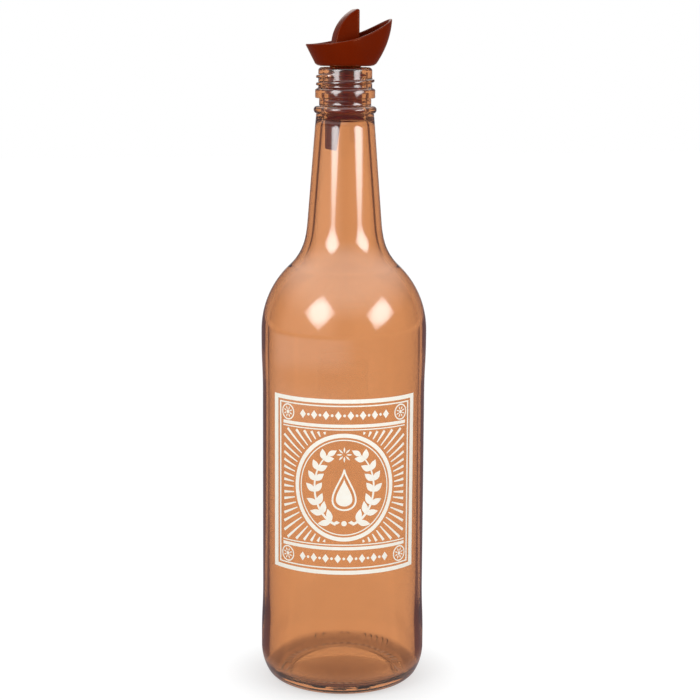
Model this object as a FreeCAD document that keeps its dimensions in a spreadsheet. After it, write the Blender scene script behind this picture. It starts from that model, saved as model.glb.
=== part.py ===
import FreeCAD, Part
import math
import os
import re

import Sketcher
from FreeCAD import Vector

# Glass oil bottle with a ribbed stopper and a self-closing pourer, in millimetres.
# The origin is the middle of the glass foot, +Z runs up the neck and +X points where
# the beak of the pourer points. Heights in the finish are depths below the mouth, and
# heights in the pourer are measured from the underside of its cup.

SIZES = {
    # Glass: height, foot and heel
    "glass_height": 293.9,
    "foot_inner_radius": 25.0,
    "foot_outer_radius": 29.1,
    "push_up": 3.5,
    "heel_corner_radius": 8.5,
    "heel_corner_share": 0.9,
    "heel_side_radius": 23.5,
    "heel_radius": 39.3,
    "heel_band_top": 21.0,
    # Glass: label panel and shoulder
    "panel_radius": 38.65,
    "band_blend_radius": 250.0,
    "shoulder_band_bottom": 166.0,
    "shoulder_band_top": 170.0,
    "shoulder_radius": 39.25,
    "shoulder_curve": 42.6,
    # Glass: neck
    "neck_curve": 29.0,
    "neck_top_radius": 13.6,
    "neck_taper": 4.45,
    # Glass: finish, from the mouth down
    "finish_radius": 12.6,
    "lip_radius": 1.6,
    "thread_depth": 9.45,
    "thread_pitch": 3.4,
    "thread_turns": 1.65,
    "thread_height": 1.05,
    "thread_root_width": 2.2,
    "thread_crest_width": 0.9,
    "ridge_sink": 0.3,
    "bead_top_depth": 9.45,
    "bead_bottom_depth": 14.3,
    "bead_radius": 14.05,
    "bead_slope": 0.8,
    "undercut_radius": 12.2,
    "collar_depth": 19.65,
    "collar_radius": 14.75,
    "collar_round": 2.0,
    # Glass: walls and bore
    "body_wall": 3.0,
    "neck_wall": 3.5,
    "base_thickness": 5.5,
    "inner_heel_radius": 8.0,
    "bore_radius": 9.75,
    "inner_lip_radius": 1.0,
    # Pourer cup
    "cup_gap": 0.5,
    "cup_floor": 2.0,
    "cup_wall": 1.5,
    "rim_curve": 70.4,
    "rim_low_reach": 17.5,
    "rim_low_height": 10.0,
    "core_collar_radius": 7.25,
    "core_collar_depth": 2.6,
    "core_radius": 6.5,
    "core_flange_radius": 9.45,
    "core_flange": 1.4,
    "nozzle_centre": 1.4,
    "nozzle_bore_radius": 2.8,
    "nozzle_wall": 1.4,
    "nozzle_height": 9.0,
    "air_way_centre": 4.3,
    "air_way_radius": 1.2,
    # Ears, trunnions and stop bar of the flap
    "hinge_reach": 4.0,
    "hinge_height": 10.8,
    "trunnion_radius": 1.0,
    "trunnion_clearance": 0.08,
    "ear_radius": 1.8,
    "ear_thickness": 1.6,
    "ear_gap": 0.25,
    "flap_opening": 45.0,
    "stop_reach": 8.2,
    "stop_thickness": 1.6,
    "stop_depth": 2.0,
    "stop_gap": 0.2,
    # Flap
    "flap_thickness": 10.0,
    "flap_seat_gap": 0.2,
    "flap_curve": 18.75,
    "flap_curve_reach": 12.65,
    "flap_tip_round": 0.9,
    "flap_edge_round": 0.7,
    "nub_radius": 2.5,
    "nub_tip_radius": 1.4,
    "nub_depth": 1.2,
    # Ribbed stopper
    "sleeve_clearance": 0.05,
    "sleeve_radius": 7.9,
    "sleeve_length": 19.6,
    "sleeve_end_gap": 0.1,
    "rib_count": 5.0,
    "rib_pitch": 4.0,
    "rib_clearance": 0.1,
    "rib_first_depth": 1.5,
    "rib_root": 1.5,
    "rib_tip": 0.7,
    # Air tube
    "tube_top_radius": 3.8,
    "tube_end_radius": 2.7,
    "tube_wall": 0.8,
    "tube_length": 15.5,
    "tube_end_slant": 13.0,
    "tube_neck_radius": 1.7,
    "tube_neck_length": 4.0,
    "tube_neck_wall": 0.6,
    "tube_neck_clearance": 0.03,
}

# Stations of the cup's outer wall, from the underside up: height, how far the wall stands
# out at the rear and at the beak, its half width, and the roundness of the beak.
CUP_STATIONS = {
    "cup_low": (0.0, 13.6, 13.8, 13.6, 12.0),
    "cup_mid": (7.0, 17.2, 18.1, 15.6, 11.5),
    "cup_high": (14.5, 21.2, 20.9, 17.2, 11.0),
    "cup_top": (24.0, 26.3, 22.0, 18.2, 10.5),
}
STATION_WORDS = ("height", "rear", "beak", "width", "nose")
for station, values in CUP_STATIONS.items():
    for word, value in zip(STATION_WORDS, values):
        SIZES[f"{station}_{word}"] = value

# Places that several pieces share, as expressions of the sizes.
CUP_UNDERSIDE = "glass_height + cup_gap"
SLEEVE_TOP = "0 - core_collar_depth - sleeve_end_gap"
SLEEVE_END = f"{SLEEVE_TOP} - sleeve_length"
FLANGE_TOP = f"{SLEEVE_END} - sleeve_end_gap"
FLANGE_END = f"{FLANGE_TOP} - core_flange"
TUBE_END = f"{FLANGE_END} - tube_length"
RIM_CENTRE_HEIGHT = "rim_low_height + rim_curve"
COLLAR_HEIGHT = "glass_height - collar_depth"
COLLAR_CENTRE = "(collar_radius - collar_round)"
NECK_TOP_HEIGHT = f"{COLLAR_HEIGHT} - sqrt(collar_round ^ 2 - (neck_top_radius - {COLLAR_CENTRE}) ^ 2)"
INNER_NECK_TOP = (f"{NECK_TOP_HEIGHT} + (neck_top_radius - neck_wall / cos(neck_taper) - bore_radius)"
                  " / tan(neck_taper)")
# The heel's corner is a fillet, so it takes no more than its share of the step that it rounds.
HEEL_CORNER = "min(heel_corner_radius; heel_corner_share * (heel_radius - foot_outer_radius))"
BODY_BORE = "(min(panel_radius; heel_radius; shoulder_radius) - body_wall)"
FLAP_HALF = "flap_thickness / 2"
EAR_INSIDE = f"{FLAP_HALF} + ear_gap"
EAR_OUTSIDE = f"{EAR_INSIDE} + ear_thickness"
FLAP_UNDERSIDE = "(nozzle_height + flap_seat_gap)"
FLAP_KNUCKLE = f"(hinge_height - {FLAP_UNDERSIDE})"
STOP_TOP = (f"hinge_height + ((stop_reach - hinge_reach) * cos(flap_opening) - {FLAP_KNUCKLE}"
            " - stop_gap) / sin(flap_opening)")

os.makedirs("parts", exist_ok=True)
doc = FreeCAD.newDocument("oil_bottle")
sheet = doc.addObject("Spreadsheet::Sheet", "sizes")
for row, (alias, value) in enumerate(SIZES.items(), start=1):
    sheet.set(f"A{row}", alias)
    sheet.set(f"B{row}", str(value))
    sheet.setAlias(f"B{row}", alias)
doc.recompute()


def bound(text):
    """The expression with each size's name pointing at its cell in the sheet."""
    return re.sub(r"[a-z_]+", lambda m: f"sizes.{m[0]}" if m[0] in SIZES else m[0], text)


def worth(text):
    """The number that an expression of sizes gives; a number is passed on as it is."""
    if not isinstance(text, str):
        return text
    result = sheet.evalExpression(bound(text))
    return float(getattr(result, "Value", result))


def new_body(name, height=None):
    """A body for one sub-part, standing on the bottle's axis at the height given."""
    body = doc.addObject("PartDesign::Body", name)
    body.Label = name
    if height:
        body.setExpression("Placement.Base.z", bound(height))
    return body


def origin_plane(body, role):
    return next(item for item in body.Origin.OriginFeatures if item.Role == role)


def new_sketch(body, name, plane, offset=None):
    """A sketch on one of the body's own origin planes, moved along the plane's normal."""
    sketch = body.newObject("Sketcher::SketchObject", name)
    sketch.AttachmentSupport = [(origin_plane(body, plane), "")]
    sketch.MapMode = "FlatFace"
    if offset:
        sketch.setExpression("AttachmentOffset.Base.z", bound(offset))
    return sketch


class Outline:
    """A closed outline in a sketch, drawn edge by edge from its first corner.

    A coordinate given as an expression is pinned to the sheet. A coordinate given as a
    number is only where the solver starts, and smooth joints or the rest then fix it.
    """

    def __init__(self, sketch, x, y):
        self.sketch = sketch
        self.first = self.here = (x, y)
        self.edges = []

    def limit(self, kind, *args, to=None):
        """Add a constraint; to is the expression that drives its value."""
        if to is not None:
            args = (*args, math.radians(worth(to)) if kind == "Angle" else worth(to))
        index = self.sketch.addConstraint(Sketcher.Constraint(kind, *args))
        if to is not None:
            unit = " * 1 deg" if kind == "Angle" else ""
            self.sketch.setExpression(f"Constraints[{index}]", f"({bound(to)}){unit}")

    def pin(self, edge, vertex, point):
        for kind, value, axis in (("DistanceX", point[0], -2), ("DistanceY", point[1], -1)):
            if value == "0":
                self.limit("PointOnObject", edge, vertex, axis)
            elif isinstance(value, str):
                self.limit(kind, -1, 1, edge, vertex, to=value)

    def add(self, curve, start, end, corner, smooth):
        """Place the curve, whose own ends are start and end, and join it to the edge before."""
        edge = self.sketch.addGeometry(curve, False)
        if self.edges:
            before, last = self.edges[-1]
            self.limit("Tangent" if smooth else "Coincident", before, last, edge, start)
        else:
            self.start_vertex = (edge, start)
            self.pin(edge, start, self.first)
        self.edges.append((edge, end))
        if corner is not None:
            self.pin(edge, end, corner)
            self.here = corner
        return edge

    def line(self, x, y, smooth=False, angle=None):
        start, end = (Vector(worth(a), worth(b)) for a, b in (self.here, (x, y)))
        edge = self.add(Part.LineSegment(start, end), 1, 2, (x, y), smooth)
        if angle:
            self.limit("Angle", edge, to=angle)

    def arc(self, centre, x, y, radius=None, smooth=False):
        """The arc about the centre, the shorter way round to the corner (x, y)."""
        middle = Vector(worth(centre[0]), worth(centre[1]))
        start = Vector(worth(self.here[0]), worth(self.here[1])) - middle
        end = Vector(worth(x), worth(y)) - middle
        angles = [math.atan2(spoke.y, spoke.x) for spoke in (start, end)]
        forward = start.cross(end).z > 0
        circle = Part.Circle(middle, Vector(0, 0, 1), start.Length)
        curve = Part.ArcOfCircle(circle, *(angles if forward else reversed(angles)))
        edge = self.add(curve, 1 if forward else 2, 2 if forward else 1, (x, y), smooth)
        self.pin(edge, 3, centre)
        if radius:
            self.limit("Radius", edge, to=radius)

    def close(self, smooth=False):
        """Draw the last line, back to the first corner; smooth makes both its joints smooth."""
        start, end = (Vector(worth(a), worth(b)) for a, b in (self.here, self.first))
        edge = self.add(Part.LineSegment(start, end), 1, 2, None, smooth)
        self.limit("Tangent" if smooth else "Coincident", edge, 2, *self.start_vertex)


def circle_sketch(body, name, plane, x, radius, y="0", offset=None):
    """A sketch of one circle; its height and place come from expressions."""
    sketch = new_sketch(body, name, plane, offset)
    centre = Vector(worth(x), worth(y))
    edge = sketch.addGeometry(Part.Circle(centre, Vector(0, 0, 1), worth(radius)), False)
    drawing = Outline(sketch, x, y)
    drawing.pin(edge, 3, (x, y))
    drawing.limit("Radius", edge, to=radius)
    return sketch


def revolve(body, name, sketch, kind="PartDesign::Revolution"):
    feature = body.newObject(kind, name)
    feature.Profile = sketch
    feature.ReferenceAxis = (sketch, ["V_Axis"])
    feature.Angle = 360
    return feature


def extrude(body, name, sketch, length, kind="PartDesign::Pad", both_ways=False, reverse=False):
    feature = body.newObject(kind, name)
    feature.Profile = sketch
    feature.setExpression("Length", bound(length))
    feature.Midplane = both_ways
    feature.Reversed = reverse
    return feature


def loft(body, name, sketches, kind="PartDesign::AdditiveLoft"):
    feature = body.newObject(kind, name)
    feature.Profile = sketches[0]
    feature.Sections = sketches[1:]
    return feature


def neck_blend(line_point, taper, centre, radius, blend):
    """Where the arc that blends a tapering neck line into the shoulder's arc begins and ends.

    The blend lies outside the line and outside the shoulder's circle, so its centre is one
    blend radius from the line and radius + blend from the circle's centre.
    """
    outward = Vector(math.cos(taper), math.sin(taper))
    down = Vector(math.sin(taper), -math.cos(taper))
    offset = line_point + outward * blend - centre
    along = offset.dot(down)
    reach = (radius + blend) ** 2 - offset.dot(offset) + along ** 2
    blend_centre = centre + offset + down * (-along - math.sqrt(reach))
    if blend_centre.y < centre.y:
        blend_centre = centre + offset + down * (-along + math.sqrt(reach))
    on_shoulder = centre + (blend_centre - centre) * (radius / (radius + blend))
    return blend_centre, on_shoulder, blend_centre - outward * blend


def shoulder_and_neck(outline, start_radius, line_radius, line_height, blend):
    """The shoulder's arc and the arc that blends it into the neck; ends on the neck line."""
    centre = ("shoulder_radius - shoulder_curve", "shoulder_band_top")
    middle = Vector(worth(centre[0]), worth(centre[1]))
    radius = worth(start_radius) - middle.x
    line_point = Vector(worth(line_radius), worth(line_height))
    taper = math.radians(worth("neck_taper"))
    blend_centre, on_shoulder, on_neck = neck_blend(line_point, taper, middle, radius, worth(blend))
    outline.arc(centre, on_shoulder.x, on_shoulder.y)
    outline.arc((blend_centre.x, blend_centre.y), on_neck.x, on_neck.y, radius=blend, smooth=True)


def band_blends(outline, start, end_radius, end_height):
    """Two arcs that ease the wall in or out between the label panel and the band next to it.

    start is (radius, height) as numbers.
    """
    far = worth(end_radius)
    curve = math.copysign(worth("band_blend_radius"), start[0] - far)
    middle = ((start[0] + far) / 2, (start[1] + worth(end_height)) / 2)
    outline.arc((start[0] - curve, start[1]), *middle, radius="band_blend_radius", smooth=True)
    outline.arc((far + curve, worth(end_height)), end_radius, end_height,
                radius="band_blend_radius", smooth=True)


def dome_centre(rise, reach):
    """How far below a dome's rim the centre of its arc lies."""
    return (worth(reach) ** 2 - worth(rise) ** 2) / (2 * worth(rise))


def blend_length(band_radius):
    """The height that a pair of band blends takes between the panel and a band of that radius."""
    step = abs(worth(f"{band_radius} - panel_radius"))
    return math.sqrt(4 * worth("band_blend_radius") * step - step ** 2)


def glass_outside(sketch):
    """Half section of the outside: foot, heel, panel, shoulder, neck and finish."""
    outline = Outline(sketch, "0", "push_up")
    outline.arc(("0", -dome_centre("push_up", "foot_inner_radius")), "foot_inner_radius", "0")
    outline.line("foot_outer_radius", "0")
    corner = Vector(worth("foot_outer_radius"), worth(HEEL_CORNER))
    reach = worth("heel_side_radius") - corner.y
    side_x = worth("heel_radius - heel_side_radius")
    side = Vector(side_x, corner.y + math.sqrt(reach ** 2 - (corner.x - side_x) ** 2))
    joint = side + (corner - side) * (worth("heel_side_radius") / reach)
    outline.arc(("foot_outer_radius", HEEL_CORNER), joint.x, joint.y)
    outline.arc((side.x, side.y), "heel_radius", side.y, radius="heel_side_radius", smooth=True)
    outline.line("heel_radius", "heel_band_top", smooth=True)
    panel_low = worth("heel_band_top") + blend_length("heel_radius")
    panel_high = worth("shoulder_band_bottom") - blend_length("shoulder_radius")
    band_blends(outline, (worth("heel_radius"), worth("heel_band_top")), "panel_radius", panel_low)
    outline.line("panel_radius", panel_high, smooth=True)
    band_blends(outline, (worth("panel_radius"), panel_high), "shoulder_radius",
                "shoulder_band_bottom")
    outline.line("shoulder_radius", "shoulder_band_top", smooth=True)
    shoulder_and_neck(outline, "shoulder_radius", "neck_top_radius", NECK_TOP_HEIGHT, "neck_curve")
    outline.line("neck_top_radius", worth(NECK_TOP_HEIGHT), smooth=True, angle="90 + neck_taper")
    side_step = worth(f"undercut_radius - {COLLAR_CENTRE}")
    collar_top = worth(COLLAR_HEIGHT) + math.sqrt(worth("collar_round") ** 2 - side_step ** 2)
    outline.arc((COLLAR_CENTRE, COLLAR_HEIGHT), "undercut_radius", collar_top, radius="collar_round")
    outline.line("undercut_radius", "glass_height - bead_bottom_depth")
    outline.line("bead_radius", "glass_height - bead_bottom_depth")
    outline.line("bead_radius", "glass_height - bead_top_depth - bead_slope")
    outline.line("finish_radius", "glass_height - bead_top_depth")
    outline.line("finish_radius", "glass_height - lip_radius")
    outline.arc(("finish_radius - lip_radius", "glass_height - lip_radius"),
                "finish_radius - lip_radius", worth("glass_height"))
    outline.line("0", "glass_height")
    outline.close()


def glass_inside(sketch):
    """Half section of the cavity, from the floor over the push-up to the mouth."""
    outline = Outline(sketch, "0", "push_up + base_thickness")
    dome = worth("base_thickness") - dome_centre("push_up", "foot_inner_radius")
    outline.arc(("0", dome), "foot_inner_radius", "base_thickness")
    outline.line(f"{BODY_BORE} - inner_heel_radius", "base_thickness")
    outline.arc((f"{BODY_BORE} - inner_heel_radius", "base_thickness + inner_heel_radius"),
                worth(BODY_BORE), "base_thickness + inner_heel_radius")
    outline.line(BODY_BORE, "shoulder_band_top")
    shoulder_and_neck(outline, BODY_BORE, "bore_radius", INNER_NECK_TOP, "neck_curve + neck_wall")
    outline.line("bore_radius", INNER_NECK_TOP, smooth=True, angle="90 + neck_taper")
    outline.line("bore_radius", "glass_height - inner_lip_radius")
    outline.arc(("bore_radius + inner_lip_radius", "glass_height - inner_lip_radius"),
                "bore_radius + inner_lip_radius", worth("glass_height"))
    outline.line("0", "glass_height")
    outline.close()


def thread_section(sketch):
    """Section of the thread ridge where it starts, its root sunk into the finish's wall."""
    height = "glass_height - thread_depth"
    root = "finish_radius - ridge_sink"
    outline = Outline(sketch, root, f"{height} - thread_root_width / 2")
    outline.line("finish_radius + thread_height", f"{height} - thread_crest_width / 2")
    outline.line("finish_radius + thread_height", f"{height} + thread_crest_width / 2")
    outline.line(root, f"{height} + thread_root_width / 2")
    outline.close()


def glass_bottle():
    body = new_body("glass_bottle")
    outside = new_sketch(body, "glass_outside", "XZ_Plane")
    glass_outside(outside)
    revolve(body, "glass_form", outside)
    inside = new_sketch(body, "glass_inside", "XZ_Plane")
    glass_inside(inside)
    revolve(body, "glass_cavity", inside, "PartDesign::Groove")
    section = new_sketch(body, "thread_section", "XZ_Plane")
    thread_section(section)
    thread = body.newObject("PartDesign::AdditiveHelix", "thread")
    thread.Profile = section
    thread.ReferenceAxis = (section, ["V_Axis"])
    thread.Mode = "pitch-turns-angle"
    thread.setExpression("Pitch", bound("thread_pitch"))
    thread.setExpression("Turns", bound("thread_turns"))
    return body


def ribbed_stopper():
    """The soft sleeve on the pourer's core, with ribs that seal against the bore."""
    body = new_body("ribbed_stopper", CUP_UNDERSIDE)
    section = new_sketch(body, "sleeve_section", "XZ_Plane")
    inside = "core_radius + sleeve_clearance"
    outline = Outline(section, inside, SLEEVE_TOP)
    outline.line(inside, SLEEVE_END)
    outline.line("sleeve_radius", SLEEVE_END)
    outline.line("sleeve_radius", SLEEVE_TOP)
    outline.close()
    revolve(body, "sleeve", section)
    rib_section = new_sketch(body, "rib_section", "XZ_Plane")
    middle = f"{SLEEVE_TOP} - rib_first_depth"
    root = "sleeve_radius - ridge_sink"
    outline = Outline(rib_section, root, f"{middle} - rib_root / 2")
    outline.line("bore_radius - rib_clearance", f"{middle} - rib_tip / 2")
    outline.line("bore_radius - rib_clearance", f"{middle} + rib_tip / 2")
    outline.line(root, f"{middle} + rib_root / 2")
    outline.close()
    rib = revolve(body, "rib", rib_section)
    ribs = body.newObject("PartDesign::LinearPattern", "ribs")
    ribs.Originals = [rib]
    ribs.Direction = (origin_plane(body, "Z_Axis"), [""])
    ribs.Reversed = True
    ribs.setExpression("Occurrences", bound("rib_count"))
    ribs.setExpression("Length", bound("rib_pitch * (rib_count - 1)"))
    body.Tip = ribs
    return body


def cup_station(body, name, height, rear, beak, width, nose):
    """One level section of the cup: a round rear and a small round beak, joined by flats."""
    sketch = new_sketch(body, name, "XY_Plane", offset=height)
    rear_centre = f"{width} - ({rear})"
    nose_centre = f"{beak} - ({nose})"
    lean = math.acos(worth(f"({width} - ({nose})) / ({nose_centre} - ({rear_centre}))"))
    spoke = Vector(math.cos(lean), math.sin(lean))
    at_rear = Vector(worth(rear_centre), 0) + spoke * worth(width)
    at_nose = Vector(worth(nose_centre), 0) + spoke * worth(nose)
    outline = Outline(sketch, at_nose.x, -at_nose.y)
    outline.arc((nose_centre, "0"), at_nose.x, at_nose.y, radius=nose)
    outline.line(at_rear.x, at_rear.y, smooth=True)
    outline.arc((rear_centre, "0"), -worth(rear), "0", radius=width, smooth=True)
    outline.arc((rear_centre, "0"), at_rear.x, -at_rear.y)
    outline.close(smooth=True)
    return sketch


def cup_wall_sections(body, name, inset, floor):
    """The cup's four stations, drawn in by the inset, the lowest one raised to the floor."""
    sections = []
    for station in CUP_STATIONS:
        sizes = {word: f"{station}_{word}" for word in STATION_WORDS}
        if station == "cup_low" and floor != "0":
            rise = f"{floor} / cup_mid_height"
            sizes = {word: f"({low} + (cup_mid_{word} - {low}) * {rise})" for word, low in sizes.items()}
        narrowed = {word: f"({size} - {inset})" for word, size in sizes.items() if word != "height"}
        sections.append(cup_station(body, f"{name}_{station}", sizes["height"], **narrowed))
    return sections


def add_core(body):
    """The core under the cup: a collar, the shaft that the sleeve grips and the end flange."""
    section = new_sketch(body, "core_section", "XZ_Plane")
    outline = Outline(section, "0", "0")
    outline.line("core_collar_radius", "0")
    outline.line("core_collar_radius", "0 - core_collar_depth")
    outline.line("core_radius", "0 - core_collar_depth")
    outline.line("core_radius", FLANGE_TOP)
    outline.line("core_flange_radius", FLANGE_TOP)
    outline.line("core_flange_radius", FLANGE_END)
    outline.line("0", FLANGE_END)
    outline.close()
    revolve(body, "core", section)


def add_flap_bracket(body):
    """Two ears that carry the flap's trunnions, tied by the bar that stops the opening flap."""
    ear = new_sketch(body, "ear_outline", "XZ_Plane", offset=EAR_INSIDE)
    outline = Outline(ear, "hinge_reach - ear_radius", "cup_floor / 2")
    outline.line("hinge_reach - ear_radius", "hinge_height")
    outline.arc(("hinge_reach", "hinge_height"), "hinge_reach", worth("hinge_height + ear_radius"))
    outline.line("stop_reach + stop_thickness", STOP_TOP)
    outline.line("stop_reach + stop_thickness", "cup_floor / 2")
    outline.close()
    near_ear = extrude(body, "ear", ear, "ear_thickness")
    both = body.newObject("PartDesign::Mirrored", "ears")
    both.Originals = [near_ear]
    both.MirrorPlane = (origin_plane(body, "XZ_Plane"), [""])
    body.Tip = both
    bar = new_sketch(body, "stop_outline", "XZ_Plane")
    outline = Outline(bar, "stop_reach", f"{STOP_TOP} - stop_depth")
    outline.line("stop_reach + stop_thickness", f"{STOP_TOP} - stop_depth")
    outline.line("stop_reach + stop_thickness", STOP_TOP)
    outline.line("stop_reach", STOP_TOP)
    outline.close()
    extrude(body, "stop_bar", bar, f"2 * ({EAR_OUTSIDE})", both_ways=True)
    bearing = circle_sketch(body, "bearing_circle", "XZ_Plane", "hinge_reach",
                            "trunnion_radius + trunnion_clearance", y="hinge_height")
    extrude(body, "bearings", bearing, f"2 * ({EAR_OUTSIDE} + ear_gap)", "PartDesign::Pocket", both_ways=True)


def pourer_cup():
    """The open cup with its beak, and the core, nozzle and flap bracket moulded with it."""
    body = new_body("pourer_cup", CUP_UNDERSIDE)
    loft(body, "cup_form", cup_wall_sections(body, "outer", "0", "0"))
    dish = cup_wall_sections(body, "inner", "cup_wall", "cup_floor")
    loft(body, "cup_dish", dish, "PartDesign::SubtractiveLoft")
    rim = circle_sketch(body, "rim_circle", "XZ_Plane", "0 - rim_low_reach", "rim_curve",
                        y=RIM_CENTRE_HEIGHT)
    extrude(body, "rim", rim, "4 * cup_top_width", "PartDesign::Pocket", both_ways=True)
    add_core(body)
    nozzle = circle_sketch(body, "nozzle_circle", "XY_Plane", "nozzle_centre",
                           "nozzle_bore_radius + nozzle_wall")
    extrude(body, "nozzle", nozzle, "nozzle_height")
    add_flap_bracket(body)
    oil_way = circle_sketch(body, "oil_circle", "XY_Plane", "nozzle_centre", "nozzle_bore_radius",
                            offset=FLANGE_END)
    extrude(body, "oil_way", oil_way, f"nozzle_height - ({FLANGE_END})", "PartDesign::Pocket",
            reverse=True)
    air_way = circle_sketch(body, "air_circle", "XY_Plane", "0 - air_way_centre", "air_way_radius",
                            offset=FLANGE_END)
    extrude(body, "air_way", air_way, f"cup_floor - ({FLANGE_END})", "PartDesign::Pocket", reverse=True)
    socket = circle_sketch(body, "socket_circle", "XY_Plane", "0 - air_way_centre",
                           "tube_neck_radius + tube_neck_clearance", offset=FLANGE_END)
    extrude(body, "tube_socket", socket, "tube_neck_length + tube_neck_clearance",
            "PartDesign::Pocket", reverse=True)
    return body


def air_tube():
    """The tapering tube that lets air in behind the oil, plugged into the core by its neck."""
    body = new_body("air_tube", CUP_UNDERSIDE)
    top_centre = "tube_top_radius - core_flange_radius"
    end_centre = "tube_end_radius - core_flange_radius"
    loft(body, "tube_form", [
        circle_sketch(body, "tube_top", "XY_Plane", top_centre, "tube_top_radius", offset=FLANGE_END),
        circle_sketch(body, "tube_end", "XY_Plane", end_centre, "tube_end_radius", offset=TUBE_END)])
    neck = circle_sketch(body, "neck_circle", "XY_Plane", "0 - air_way_centre", "tube_neck_radius",
                         offset=f"{FLANGE_END} - tube_wall")
    extrude(body, "neck", neck, "tube_neck_length + tube_wall")
    loft(body, "tube_bore", [
        circle_sketch(body, "bore_top", "XY_Plane", top_centre, "tube_top_radius - tube_wall",
                      offset=f"{FLANGE_END} - tube_wall"),
        circle_sketch(body, "bore_end", "XY_Plane", end_centre, "tube_end_radius - tube_wall",
                      offset=TUBE_END)], "PartDesign::SubtractiveLoft")
    neck_bore = circle_sketch(body, "neck_bore_circle", "XY_Plane", "0 - air_way_centre",
                              "tube_neck_radius - tube_neck_wall", offset=f"{FLANGE_END} - tube_wall")
    extrude(body, "neck_bore", neck_bore, "tube_neck_length + tube_wall", "PartDesign::Pocket",
            reverse=True)
    slant = new_sketch(body, "slant_outline", "XZ_Plane")
    low = "2 * tube_end_radius - core_flange_radius"
    far = "0 - core_flange_radius - tube_wall"
    outline = Outline(slant, low, TUBE_END)
    outline.line(far, f"{TUBE_END} + ({low} - ({far})) * tan(tube_end_slant)")
    outline.line(far, f"{TUBE_END} - tube_wall")
    outline.close()
    extrude(body, "slanted_end", slant, "4 * tube_top_radius", "PartDesign::Pocket", both_ways=True)
    return body


def flap_outline(sketch):
    """Side view of the flap: a round knuckle, an upright front and one sweeping back."""
    front = f"hinge_reach + {FLAP_KNUCKLE}"
    tip_round = worth("flap_tip_round")
    across = worth(f"{front} - flap_tip_round - flap_curve_reach")
    inner_curve = worth("flap_curve") - tip_round
    up = math.sqrt(inner_curve ** 2 - across ** 2)
    tip = Vector(worth("flap_curve_reach") + across, worth(FLAP_UNDERSIDE) + up)
    tip_end = tip + Vector(across, up) * tip_round / inner_curve
    outline = Outline(sketch, "hinge_reach", FLAP_UNDERSIDE)
    outline.arc(("hinge_reach", "hinge_height"), worth(front), "hinge_height")
    outline.line(front, tip.y)
    outline.arc((tip.x, tip.y), tip_end.x, tip_end.y, radius="flap_tip_round", smooth=True)
    outline.arc(("flap_curve_reach", FLAP_UNDERSIDE), "flap_curve_reach - flap_curve", FLAP_UNDERSIDE,
                smooth=True)
    outline.close()


def pour_flap():
    """The weighted flap: it shuts the nozzle by its own weight and tips open with the bottle."""
    body = new_body("pour_flap", CUP_UNDERSIDE)
    side = new_sketch(body, "flap_outline", "XZ_Plane")
    flap_outline(side)
    form = extrude(body, "flap_form", side, "flap_thickness", both_ways=True)
    doc.recompute()
    half = worth(FLAP_HALF)
    rounded = [f"Edge{number}" for number, edge in enumerate(form.Shape.Edges, start=1)
               if all(abs(abs(vertex.Y) - half) < 1e-6 for vertex in edge.Vertexes)
               and abs(edge.BoundBox.YLength) < 1e-6 and edge.BoundBox.ZMax > worth("hinge_height")]
    rounding = body.newObject("PartDesign::Fillet", "flap_rounding")
    rounding.Base = (form, rounded)
    rounding.setExpression("Radius", bound("flap_edge_round"))
    trunnion = circle_sketch(body, "trunnion_circle", "XZ_Plane", "hinge_reach", "trunnion_radius",
                             y="hinge_height")
    extrude(body, "trunnions", trunnion, f"2 * ({EAR_OUTSIDE})", both_ways=True)
    loft(body, "sealing_nub", [
        circle_sketch(body, "nub_root", "XY_Plane", "nozzle_centre", "nub_radius", offset=FLAP_UNDERSIDE),
        circle_sketch(body, "nub_tip", "XY_Plane", "nozzle_centre", "nub_tip_radius",
                      offset=f"{FLAP_UNDERSIDE} - nub_depth")])
    return body


sub_parts = [glass_bottle(), ribbed_stopper(), pourer_cup(), air_tube(), pour_flap()]
doc.recompute()

for item in doc.Objects:
    faults = {"Invalid", "Error"}.intersection(item.State)
    assert not faults, f"{item.Label}: {faults}"
for sketch in doc.findObjects("Sketcher::SketchObject"):
    assert sketch.FullyConstrained, f"{sketch.Label} is not fully constrained"
for sub_part in sub_parts:
    shape = sub_part.Shape
    assert not shape.isNull() and shape.isValid() and len(shape.Solids) == 1, sub_part.Label
    shape.exportStep(f"parts/{sub_part.Label}.step")
    box = shape.BoundBox
    print(f"{sub_part.Label}: {shape.Volume / 1000:.2f} cm3, x {box.XMin:.2f} to {box.XMax:.2f},"
          f" y {box.YMin:.2f} to {box.YMax:.2f}, z {box.ZMin:.2f} to {box.ZMax:.2f}")
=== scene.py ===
# %% [markdown]
# # A glass oil bottle with a gravity pourer
#
# A tall bottle of amber-brown glass holds cooking oil. A soft ribbed stopper is pushed into its
# neck, and in that sits a plastic pourer: an open cup with a beak, and in the cup a weighted flap
# that keeps the spout shut until the bottle leans. This lesson makes the bottle look like glass
# and the pourer like glossy plastic, around a CAD model that already has the right sizes and
# joints. First the CAD model is loaded as a frame that nothing may move.

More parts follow.
